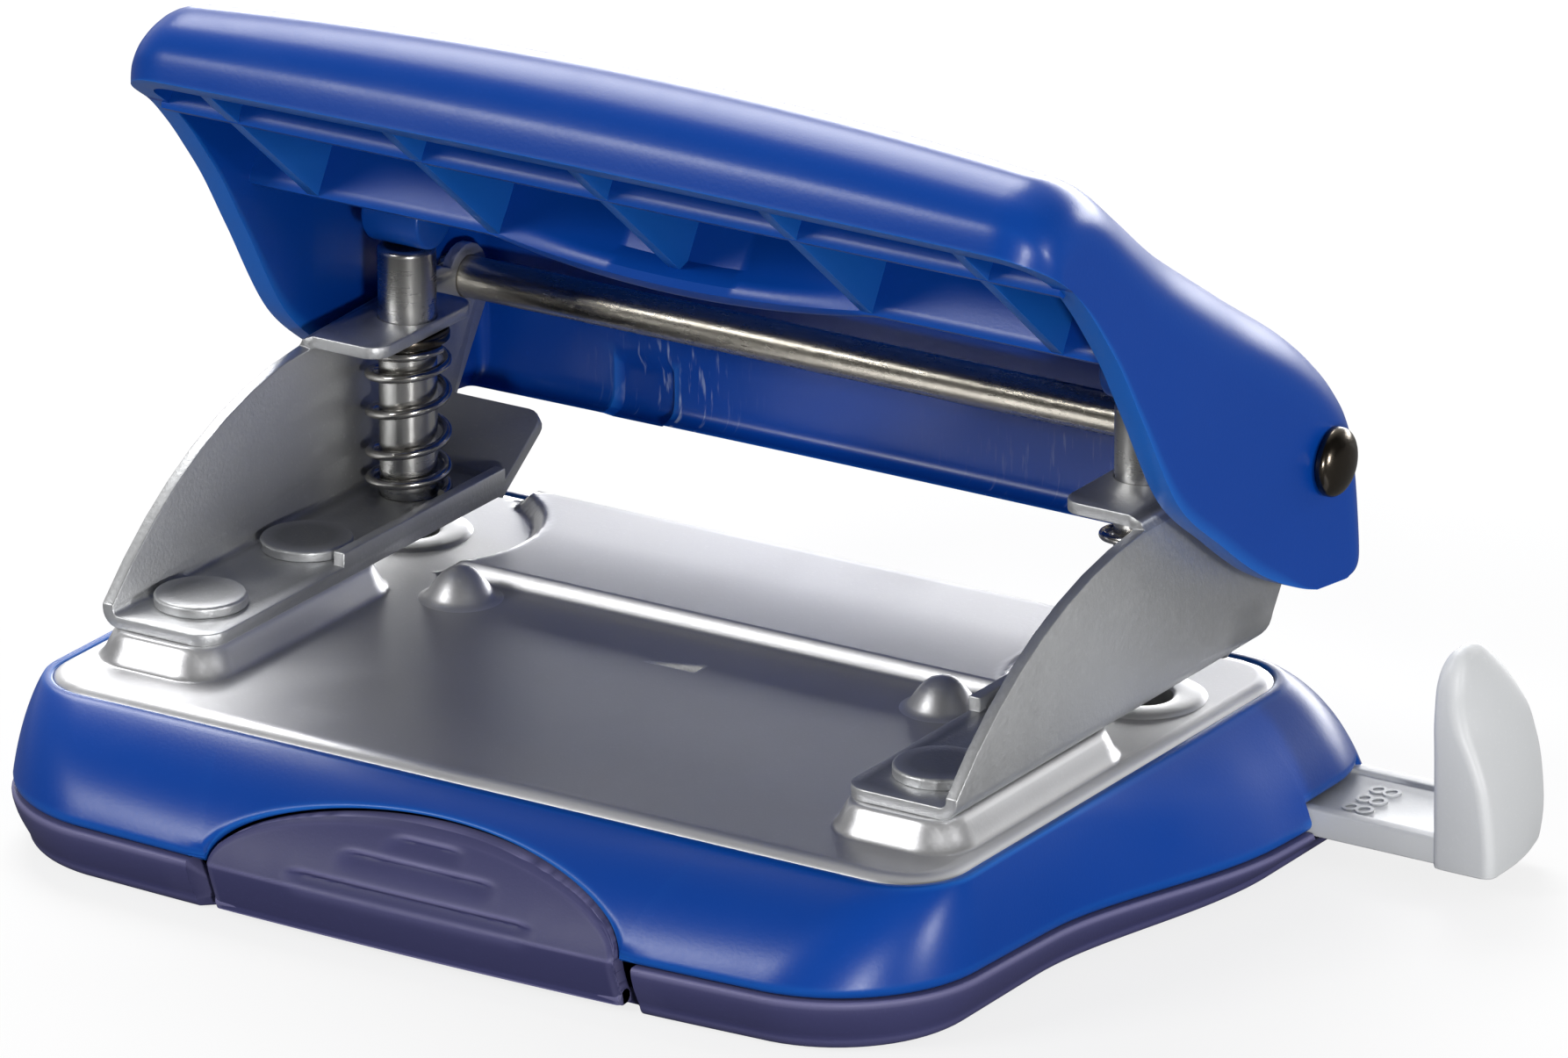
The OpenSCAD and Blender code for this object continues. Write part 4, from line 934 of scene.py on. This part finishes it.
to_rim = np.min(np.hypot(X[..., None] - rim_x, Z[..., None] - rim_z), axis=-1)
skin = front_skin(X, Z)
turn = 1 - np.clip(to_rim / FLAP_ROUND, 0, 1)
Y = skin.copy()
for height, reach in GROOVES:
    across = (Z - height) / np.where(Z > height, GROOVE_ABOVE, GROOVE_BELOW)
    Y += GROOVE_DEEP * smooth((reach - np.abs(X)) / GROOVE_FADE) * np.exp(-across ** 2)
Y += FLAP_ROUND * (1 - np.sqrt(np.clip(1 - turn ** 2, 0, 1))) + FLAP_SUNK
points = np.concatenate([np.stack([X, y, Z], axis=-1).reshape(-1, 3) for y in (Y, skin + FLAP_T)])
loop = net_border(*X.shape).tolist()
faces = quads(*X.shape) + [f[::-1] for f in quads(*X.shape, start=X.size)]
faces += [(a, b, X.size + b, X.size + a) for a, b in zip(loop, loop[1:] + loop[:1])]
dress(raw("chip_flap_door", points, faces), VIOLET, "flap", ["chip_flap"], edge_reach=0.3)

# %% [markdown]
# Along its foot the flap has a hinge roll. It is a turned piece, like the rod and its caps later on, that
# lies along X, so one helper turns a profile and lays it down.

# %% Hinge roll
KNUCKLE_Y, KNUCKLE_Z, KNUCKLE_R = -58.2, 1.3, 0.9


def turned_across(name, profile, steps, y, z, sign=1, out=0.0):
    """A turned piece along X at y, z, set out by a distance on the side that sign gives."""
    points, faces = turned(profile, steps)
    return raw(name, np.column_stack([sign * (points[:, 2] + out), points[:, 0] + y, points[:, 1] + z]), faces)


def bar(radius, half, cut, heights=()):
    """The profile of a round bar with chamfered ends."""
    start = [(0, -half), (radius - cut, -half), (radius, cut - half)]
    return start + [(radius, z) for z in heights] + [(r, -z) for r, z in start[::-1]]


roll = turned_across("chip_flap_roll", bar(KNUCKLE_R, FLAP_HALF, 0.2), 32, KNUCKLE_Y, KNUCKLE_Z)
dress(roll, VIOLET, "flap")

# %% [markdown]
# The base plate is one pressing: a flat deck with a rolled edge, two raised pads under the brackets, a low
# platform at the rear that is hollowed round each die, and a small centre mark. Pressed sheet has no sharp
# steps, so its top is a fine net whose heights are smooth ramps. The net is closest where they are steep.

# %% Deck
PLATE_MID, PLATE_DEEP = (PLATE_REAR - PLATE_FRONT) / 2, (PLATE_REAR + PLATE_FRONT) / 2
DECK_CORNER, DECK_HALF, DECK_DEEP = PLATE_CORNER - ROLL, PLATE_HALF - ROLL, PLATE_DEEP - ROLL
PAD, PAD_H, PAD_CORNER, PAD_RUN = (32.3, 46.9, -44.1, -11.6), 2.7, 4.6, 1.9
PLATFORM, PLATFORM_H, PLATFORM_RUN, DIE_CLEAR = (-35.0, 35.0, -8.2, 30, 1.5), 1.4, 1.4, 11.4
CENTRE_Y, CENTRE_DEEP, CENTRE_RUN = -15.8, 0.7, 0.55


def inside_box(x, y, x0, x1, y0, y1, r):
    """Distance inwards from the edge of a box with round corners."""
    qx = np.abs(x - (x0 + x1) / 2) - (x1 - x0) / 2 + r
    qy = np.abs(y - (y0 + y1) / 2) - (y1 - y0) / 2 + r
    return r - np.hypot(np.maximum(qx, 0), np.maximum(qy, 0)) - np.minimum(np.maximum(qx, qy), 0)


def deck_height(x, y):
    side = np.abs(x)
    pads = PAD_H * smooth(inside_box(side, y, *PAD, PAD_CORNER) / PAD_RUN)
    platform = np.minimum(inside_box(side, y, *PLATFORM), np.hypot(side - PUNCH_X, y) - DIE_CLEAR)
    rise = np.maximum(pads, PLATFORM_H * smooth(platform / PLATFORM_RUN))
    mark = np.minimum(np.minimum(2.5 - x, y - CENTRE_Y + 1.0), (0.37 * x - y + CENTRE_Y + 0.1) / 1.07)
    return DECK + rise - CENTRE_DEEP * smooth(mark / CENTRE_RUN)


def fine_steps(*spans):
    return np.concatenate([np.arange(a, b, 0.16) for a, b in spans])


ys = np.concatenate([np.arange(-PLATE_FRONT + ROLL, PLATE_REAR - ROLL, 0.45), [PLATE_REAR - ROLL],
                     fine_steps((PAD[2], -42.1), (-17.2, -14.6), (-13.6, PAD[3]), (-8.3, -5.7))])
ys = np.unique(np.round(ys, 3))
shares = fine_steps((PAD[0], 34.4), (44.8, PAD[1]), (-2.6, 2.6)) / DECK_HALF
shares = np.unique(np.round(np.concatenate([np.linspace(-1, 1, 205), shares, -shares]), 4))
over = np.clip(np.abs(ys - PLATE_MID) - (DECK_DEEP - DECK_CORNER), 0, DECK_CORNER)
reach = DECK_HALF - DECK_CORNER + np.sqrt(DECK_CORNER ** 2 - over ** 2)
X = shares[None, :] * reach[:, None]
Y = np.repeat(ys[:, None], len(shares), axis=1)
deck = np.stack([X, Y, deck_height(X, Y)], axis=-1).reshape(-1, 3)
print("deck: a net of", X.shape, "points")

# %% [markdown]
# From the border of the net the rolled edge is swept outwards and down. The seats of the two dies go right
# through the sheet, so that the punches can pass, and as round holes in a fine net they are the one place
# where a Boolean is the plain way.

# %% Base plate
ROLL_DROP, DIE_SEAT = 1.5, 5.2


def turned_at(name, profile, steps, x):
    points, faces = turned(profile, steps)
    return raw(name, points + np.array([x, 0, 0]), faces)


previous = net_border(*X.shape)
edge = deck[previous]
core = np.array([DECK_HALF, DECK_DEEP]) - DECK_CORNER
middle = edge[:, :2] - (0, PLATE_MID)
outwards = middle - np.clip(middle, -core, core)
outwards /= np.linalg.norm(outwards, axis=1)[:, None]
points, faces = [deck], quads(*X.shape)
bend = [(ROLL * math.sin(a), ROLL_DROP * (math.cos(a) - 1)) for a in quarter(9)[1:]]
for out, drop in bend + [(ROLL, LEDGE_Z - DECK)]:
    current = np.arange(len(edge)) + sum(map(len, points))
    points.append(at_height(edge[:, :2] + outwards * out, DECK + drop))
    strip = np.column_stack([previous, current, np.roll(current, -1), np.roll(previous, -1)])
    faces += [tuple(f) for f in strip.tolist()]
    previous = current
faces.append(tuple(previous.tolist()))
plate = raw("base_plate_pressing", np.concatenate(points), faces)
for _, sign in SIDES:
    low, high = LEDGE_Z - 1, DECK + 1
    drill = turned_at("die_drill", [(0, low), (DIE_SEAT, low), (DIE_SEAT, high), (0, high)], 72, sign * PUNCH_X)
    hole = plate.modifiers.new("die_hole", "BOOLEAN")
    hole.operation, hole.solver, hole.object = "DIFFERENCE", "EXACT", drill
    settle(plate)
    bpy.data.objects.remove(drill)
# The long edge reach spreads the painted highlight over the whole rolled edge and the pad rims.
dress(plate, PLATE, "base", ["base_plate"], sharp=50, edge_reach=1.5)

# %% [markdown]
# Rivets hold the brackets down, two pressed cones stop the paper, and a bored ring under each punch is its
# die. All are turned shapes that stand in a regular pattern on either side of the middle, so one small
# Geometry Nodes tree places them: it makes a grid of points, puts a copy of the turned shape on each, and
# makes the copies real.

# %% Rivets, paper stops and dies
pairs, given, pair_names = tree_with("pairs_on_the_plate", Across="Float", Step="Float", Rows="Int",
                                     Middle="Vector", Finish="Material")
span = maths(pairs, "MULTIPLY", maths(pairs, "SUBTRACT", given["Rows"], 1.0), given["Step"])
grid = add(pairs, "GeometryNodeMeshGrid", Size_X=given["Across"], Size_Y=span, Vertices_X=2,
           Vertices_Y=given["Rows"])
moved = add(pairs, "GeometryNodeTransform", Geometry=grid, Translation=given["Middle"])
copies = add(pairs, "GeometryNodeInstanceOnPoints", Points=moved, Instance=given["Geometry"])
give(pairs, add(pairs, "GeometryNodeRealizeInstances", Geometry=copies), given["Finish"])


def in_pairs(name, profile, material, across, middle, rows=1, step=0.0, bored=False):
    piece = raw(name, *turned(profile, 56, bored))
    return grow(piece, pairs, pair_names, Across=across * MM, Step=step * MM, Rows=rows,
                Middle=[v * MM for v in middle], Finish=material)


FOOT_Z, HEAD_R, HEAD_H = 18.4, 4.35, 1.1
rivet = [(0, -2.6), (2.7, -2.6), (2.7, -2.0), (2, -2.0), (2, 0), (HEAD_R - 0.1, 0)]
rivet += bow((HEAD_R - 0.12, 0.14), 0.12, -60, 0, 4) + bow((HEAD_R - 0.34, HEAD_H - 0.36), 0.34, 0, 84, 8)
rivet += [(HEAD_R * 0.6, HEAD_H + 0.01), (0, HEAD_H + 0.02)]
rivets = in_pairs("bracket_rivet_heads", rivet, ZINC, 79.7, (0, -25.85, FOOT_Z), 2, 17.3)
dress(rivets, ZINC, "base", ["bracket_rivets"], sharp=45, edge_reach=0.2)

stop = [(0, -0.4), (4.1, -0.4), (4.1, -0.02), (3.7, 0.06), (3.35, 0.25), (3.1, 0.55), (2.78, 1.05), (2.3, 1.75),
        (1.8, 2.32), (1.3, 2.72), (0.75, 2.96), (0.3, 3.06), (0, 3.08)]
dress(in_pairs("paper_stops", stop, PLATE, 52.4, (0, -12.1, DECK)), PLATE, "base", sharp=60)

PUNCH_R, DIE_PLAY = 2.75, 0.12
bore, seat, foot = PUNCH_R + DIE_PLAY, DIE_SEAT - 0.02, LEDGE_Z - DECK
die = [(0, 0), (bore, foot), (bore, 0.1), (bore + 0.2, 0.24), (bore + 0.45, 0.28), (5.3, 0.28), (5.6, 0.2),
       (5.9, 0.04), (5.98, 0.01), (seat, 0.01), (seat, foot), (0, 0)]
dies = in_pairs("die_rings", die, PLATE, 2 * PUNCH_X, (0, 0, DECK), bored=True)
dress(dies, PLATE, "base", sharp=35)

# %% [markdown]
# The brackets are folded from sheet. A copy of the CAD solid has the right outline but sharp folds, so its
# triangles are merged back into flat faces, then its folds, corners and cut edges are rounded one kind
# after another, each with the radius it has on the real sheet.

# %% Bending tools
FOLD, BRACKET_X, TAB_Z = 1.8, 45.9, 35.9


def flat_copy(node):
    """A merged copy of a CAD node with whole flat faces."""
    shape = merged(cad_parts[node].data, 2 * MERGE_M)
    bmesh.ops.dissolve_limit(shape, angle_limit=math.radians(0.6), verts=shape.verts, edges=shape.edges)
    return shape


def round_where(shape, width, segments, test=lambda middle, run: True):
    """Rounds the sharp edges whose middle and direction pass a test, in millimetres."""
    chosen = []
    for e in shape.edges:
        a, b = (v.co for v in e.verts)
        if (len(e.link_faces) == 2 and e.calc_face_angle(0) > math.radians(25)
                and test((a + b) / 2 / MM, (b - a).normalized())):
            chosen.append(e)
    bmesh.ops.bevel(shape, geom=chosen, offset=width * MM, offset_type="OFFSET", segments=segments, profile=0.5,
                    affect="EDGES", clamp_overlap=False)
    return len(chosen)


def fold(shape, sign, corner_z, up, y0, y1):
    """Turns the sharp fold between the wall and a flat at corner_z into a round one."""
    centre = np.array([sign * (BRACKET_X - FOLD), corner_z + up * FOLD])
    for a in quarter(7):
        near = [f for f in shape.faces if any(sign * v.co.x / MM > BRACKET_X - FOLD - 0.1
                                              and up * (v.co.z / MM - centre[1]) < 0.1 for v in f.verts)]
        geom = list({*near, *(e for f in near for e in f.edges), *(v for f in near for v in f.verts)})
        bmesh.ops.bisect_plane(shape, geom=geom, dist=SLIVER_M, plane_co=(centre[0] * MM, 0, centre[1] * MM),
                               plane_no=(math.sin(a), 0, sign * up * math.cos(a)))
    for v in shape.verts:
        out = np.array([v.co.x, v.co.z]) / MM - centre
        if sign * out[0] > 1e-6 and up * out[1] < -1e-6 and y0 < v.co.y / MM < y1:
            out *= np.abs(out).max() / np.linalg.norm(out)
            v.co.x, v.co.z = (centre + out) * MM


print("folds have a radius of", FOLD, "mm outside")

# %% [markdown]
# On each bracket the upright corners come first: at the toe of the foot, at the tab, and on the rear lip.
# Then the two folds are made round, and at last every edge that is still sharp is just broken, as tumbling
# does with stamped parts.

# %% Brackets
def close_to(value, target):
    return abs(value - target) < 0.06


# Radius, segments and place of the corners of the foot, of the tab and of the rear lip
ROUND_CORNERS = (
    (2.4, 7, lambda m, d: abs(d.z) > 0.9 and close_to(abs(m.x), 33.8) and m.y < -40),
    (2.0, 6, lambda m, d: abs(d.z) > 0.9 and close_to(abs(m.x), 36.8) and m.z > 34),
    (1.7, 5, lambda m, d: abs(d.x) < 0.1 and abs(d.z) > 0.7 and close_to(m.y, 14.0) and m.z > 20))
for side, sign in SIDES:
    shape = flat_copy(f"{side}_bracket")
    counts = [round_where(shape, *corner) for corner in ROUND_CORNERS]
    fold(shape, sign, FOOT_Z - SHEET, 1, -60, 30)
    fold(shape, sign, TAB_Z, -1, -12, 7.1)
    counts.append(round_where(shape, 0.12, 2))
    bracket = keep(shape, f"{side}_bracket_sheet")
    print(side, "bracket, edges rounded in turn:", counts)
    dress(bracket, ZINC, "base", [f"{side}_bracket"], sharp=40, edge_reach=0.1)

# %% [markdown]
# Punches are turned on a lathe, and so are their meshes: a profile of radius and height swept round the
# axis. The small chamfers and grooves matter more than the plain length, because they catch the light. In
# the groove sits a ring of spring steel, open to the rear; it is a rectangle carried round an arc.

# %% Punches and rings
TIP_Z, RING_Z, RING_T, GROOVE_R = 17.3, 33.7, 0.9, PUNCH_R - 0.4
RING_BAND, RING_MOUTH, RING_PLAY = 1.6, math.radians(27), 0.03
ring_top = RING_Z + RING_T
punch_profile = [(0, TIP_Z + 0.6), (PUNCH_R - 0.12, TIP_Z + 0.05), (PUNCH_R, TIP_Z + 0.12),
                 (PUNCH_R, RING_Z - 0.05), (PUNCH_R - 0.05, RING_Z), (GROOVE_R, RING_Z + 0.02),
                 (GROOVE_R, ring_top - 0.02), (PUNCH_R - 0.05, ring_top), (PUNCH_R, ring_top + 0.05),
                 (PUNCH_R, PUNCH_TOP - 0.62)]
punch_profile += bow((PUNCH_R - 0.5, PUNCH_TOP - 0.5), 0.5, 0, 80, 7)
punch_profile += [(PUNCH_R - 0.62, PUNCH_TOP), (PUNCH_R - 0.75, PUNCH_TOP - 0.05), (0, PUNCH_TOP - 0.09)]
bore = GROOVE_R + 0.025
corners = [(bore, RING_PLAY), (bore + RING_BAND, RING_PLAY), (bore + RING_BAND, RING_T - RING_PLAY),
           (bore, RING_T - RING_PLAY)]
turns = np.linspace(math.pi / 2 + RING_MOUTH, 2.5 * math.pi - RING_MOUTH, 61)
for side, sign in SIDES:
    x = sign * PUNCH_X
    punch = turned_at(f"{side}_punch_pin", punch_profile, 72, x)
    dress(punch, STEEL, f"{side}_pin", [f"{side}_punch"], sharp=30, edge_reach=0.25)
    cuts = [(x + r * math.cos(a), r * math.sin(a), RING_Z + z) for a in turns for r, z in corners]
    ring = soften(raw(f"{side}_ring", cuts, capped(len(turns), len(corners))), 0.16, 2)
    dress(ring, DARK_NICKEL, f"{side}_pin", [f"{side}_retaining_ring"], edge_reach=0.2)

# %% [markdown]
# The lever turns on a drawn rod, and a domed cap is pressed on each end of it. Both are turned pieces that
# lie across the punch.

# %% Rod and caps
ROD_R, CAP_R, CAP_H, CAP_RIM, CAP_X = 2.0, 3.25, 1.7, 0.36, LEVER_HALF + 0.3
ROD_END, SOCKET, SOCKET_R = CAP_X + 0.8, 0.85, ROD_R + 0.03
rod_profile = bar(ROD_R, ROD_END, 0.25, np.linspace(1 - ROD_END, ROD_END - 1, 60))
rod = turned_across("cross_rod_bar", rod_profile, 48, ROD_Y, ROD_Z)
dress(rod, NICKEL, "base", ["cross_rod"])
dome = [(CAP_R * math.cos(a), CAP_RIM + (CAP_H - CAP_RIM) * math.sin(a))
        for a in np.radians(np.linspace(6, 88, 14))]
cap_profile = [(0, SOCKET), (SOCKET_R, SOCKET), (SOCKET_R, 0), (CAP_R - 0.12, 0), (CAP_R, 0.1), (CAP_R, 0.32),
               *dome, (0, CAP_H)]
for side, sign in SIDES:
    cap = turned_across(f"{side}_rod_dome", cap_profile, 64, ROD_Y, ROD_Z, sign, CAP_X)
    dress(cap, DARK_NICKEL, "base", [f"{side}_rod_cap"], sharp=45)

# %% [markdown]
# The return springs are wire wound on a helix, closer at the ends than in the middle. A helix is a path, so
# Geometry Nodes bend a straight curve into it and sweep a circle along it.

# %% Springs
TURNS, WIRE_R, COIL_R, CLOSE = 5.0, 0.45, 3.65, 0.45
SPRING_HEAD, PIN_TRAVEL = 33.72, 5.7
SPRING_LENGTH = SPRING_HEAD - FOOT_Z
tree, given, named = tree_with("wound_spring", **dict.fromkeys(
    ("Turns", "Coil_radius", "Wire_radius", "Foot", "Length", "Closeness", "Axis_X"), "Float"))
straight = add(tree, "GeometryNodeCurvePrimitiveLine", End=(0, 0, 1))
even = add(tree, "GeometryNodeResampleCurve", Curve=straight, Count=320)
share = add(tree, "GeometryNodeSplineParameter")
angle = maths(tree, "MULTIPLY", maths(tree, "MULTIPLY", share, given["Turns"]), 2 * math.pi)
wave = maths(tree, "SINE", maths(tree, "MULTIPLY", share, 2 * math.pi))
pull = maths(tree, "DIVIDE", given["Closeness"], 2 * math.pi)
eased = maths(tree, "SUBTRACT", share, maths(tree, "MULTIPLY", wave, pull))
helix = add(tree, "ShaderNodeCombineXYZ",
            X=maths(tree, "MULTIPLY_ADD", given["Coil radius"], maths(tree, "COSINE", angle), given["Axis X"]),
            Y=maths(tree, "MULTIPLY", given["Coil radius"], maths(tree, "SINE", angle)),
            Z=maths(tree, "MULTIPLY_ADD", eased, given["Length"], given["Foot"]))
wound = add(tree, "GeometryNodeSetPosition", Geometry=even, Position=helix)
circle = add(tree, "GeometryNodeCurvePrimitiveCircle", Resolution=14, Radius=given["Wire radius"])
wire = add(tree, "GeometryNodeCurveToMesh", Curve=wound, Profile_Curve=circle, Fill_Caps=True)
give(tree, add(tree, "GeometryNodeRealizeInstances", Geometry=wire), WIRE)
for side, sign in SIDES:
    x = sign * PUNCH_X
    spring = stand(f"{side}_spring_coil", bpy.data.meshes.new(f"{side}_spring_coil"))
    grow(spring, tree, named, Turns=TURNS, Coil_radius=COIL_R * MM, Wire_radius=WIRE_R * MM,
         Foot=(FOOT_Z + WIRE_R) * MM, Length=(SPRING_LENGTH - 2 * WIRE_R) * MM, Closeness=CLOSE, Axis_X=x * MM)
    dress(spring, WIRE, "base", [f"{side}_spring"], sharp=60)
    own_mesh(spring)

# %% [markdown]
# The paper guide is a grey bar with a sunk field and a raised border. The bar is the CAD solid with its
# edges eased. The digits on it stand up from the field; they are a text curve, raised a little, turned into
# a mesh and laid along the bar.

# %% Guide bar and digits
FIELD_Z, DIGITS_X, DIGITS_Y = GUIDE_Z + GUIDE_T - 0.5, 58.6, 10.0
shape = flat_copy("guide_bar")
round_where(shape, 0.22, 3)
dress(keep(shape, "guide_bar_slide"), GREY, "guide", ["guide_bar"], edge_reach=0.15)

digits = bpy.data.curves.new("digits", "FONT")
digits.body = "888"
digits.align_x = digits.align_y = "CENTER"
digits.size, digits.extrude, digits.offset = 4.6 * MM, 0.2 * MM, -0.05 * MM
digits.space_character, digits.resolution_u = 1.08, 4
text = stand("digits", digits)
embossed = bpy.data.meshes.new_from_object(text)
bpy.data.objects.remove(text)
x, y, z = values_of(embossed.vertices, "co").T
laid = np.column_stack([DIGITS_X * MM - y, DIGITS_Y * MM + x, FIELD_Z * MM + z])
embossed.vertices.foreach_set("co", laid.ravel())
dress(keep(merged(embossed), "guide_digits"), GREY, "guide", edge_reach=0.05)

# %% [markdown]
# The guide ends in a fin that stops the sheet: flat towards the punch, bellied outside, and drawn in to a
# round top. A table of its outline at twelve heights is smoothed and lofted, with the corners of every
# ring eased.

# %% Fin
# Height, then the inner face, front, ridge, belly, rear edge and back at that height
FIN = np.array([
    (2.3, 68.4, 4.2, 74.0, 73.9, 72.2, 16.2), (2.7, 68.1, 3.9, 74.4, 74.3, 72.6, 16.6),
    (6, 68.1, 3.85, 74.3, 74.4, 73.0, 16.7), (10.7, 68.1, 3.75, 73.6, 74.1, 73.0, 16.1),
    (13.9, 68.1, 3.65, 72.4, 73.6, 72.8, 15.2), (16, 68.1, 3.55, 71.4, 73.2, 72.6, 14.4),
    (18, 68.2, 3.5, 70.9, 72.7, 72.2, 13.2), (20, 68.3, 3.6, 70.8, 72.1, 71.7, 11.8),
    (21.5, 68.5, 4.0, 70.7, 71.5, 71.3, 10.5), (22.5, 68.8, 4.6, 70.6, 71.0, 70.9, 9.5),
    (23, 69.1, 5.2, 70.4, 70.7, 70.6, 8.8), (23.3, 69.5, 6.0, 70.1, 70.3, 70.2, 7.9)])
CORNER_CUTS = (1.0, 1.1, 3.5, 1.7, 1.0)


def rounded(corners, cuts, per=9):
    """A closed outline through straight sides, each corner eased over its own cut length."""
    p = np.array(corners, dtype=float)
    out = []
    for k, cut in enumerate(cuts):
        before, after = p[k - 1] - p[k], p[(k + 1) % len(p)] - p[k]
        a, b = (p[k] + way * min(0.49, cut / np.linalg.norm(way)) for way in (before, after))
        out += [a * (1 - t) ** 2 + 2 * p[k] * t * (1 - t) + b * t * t for t in np.linspace(0, 1, per)]
    return np.array(out)


heights = np.concatenate([np.linspace(2.3, 2.7, 4)[:-1], np.linspace(2.7, 21, 44)[:-1],
                          np.linspace(21, 23.3, 16)])
smooth_fin = flowing(FIN, 8)
rings = []
for z in heights:
    x0, y0, ridge, belly, rear, y1 = (np.interp(z, smooth_fin[:, 0], smooth_fin[:, c]) for c in range(1, 7))
    corners = [(x0, y0), (ridge, y0), (belly, mix(y0, y1, 0.5)), (rear, y1), (x0, y1)]
    rings.append(at_height(rounded(corners, CORNER_CUTS), z))
fin = raw("guide_fin", np.concatenate(rings), capped(len(rings), len(rings[0])))
dress(fin, GREY, "guide", ["guide_stop"], sharp=60, edge_reach=0.5)
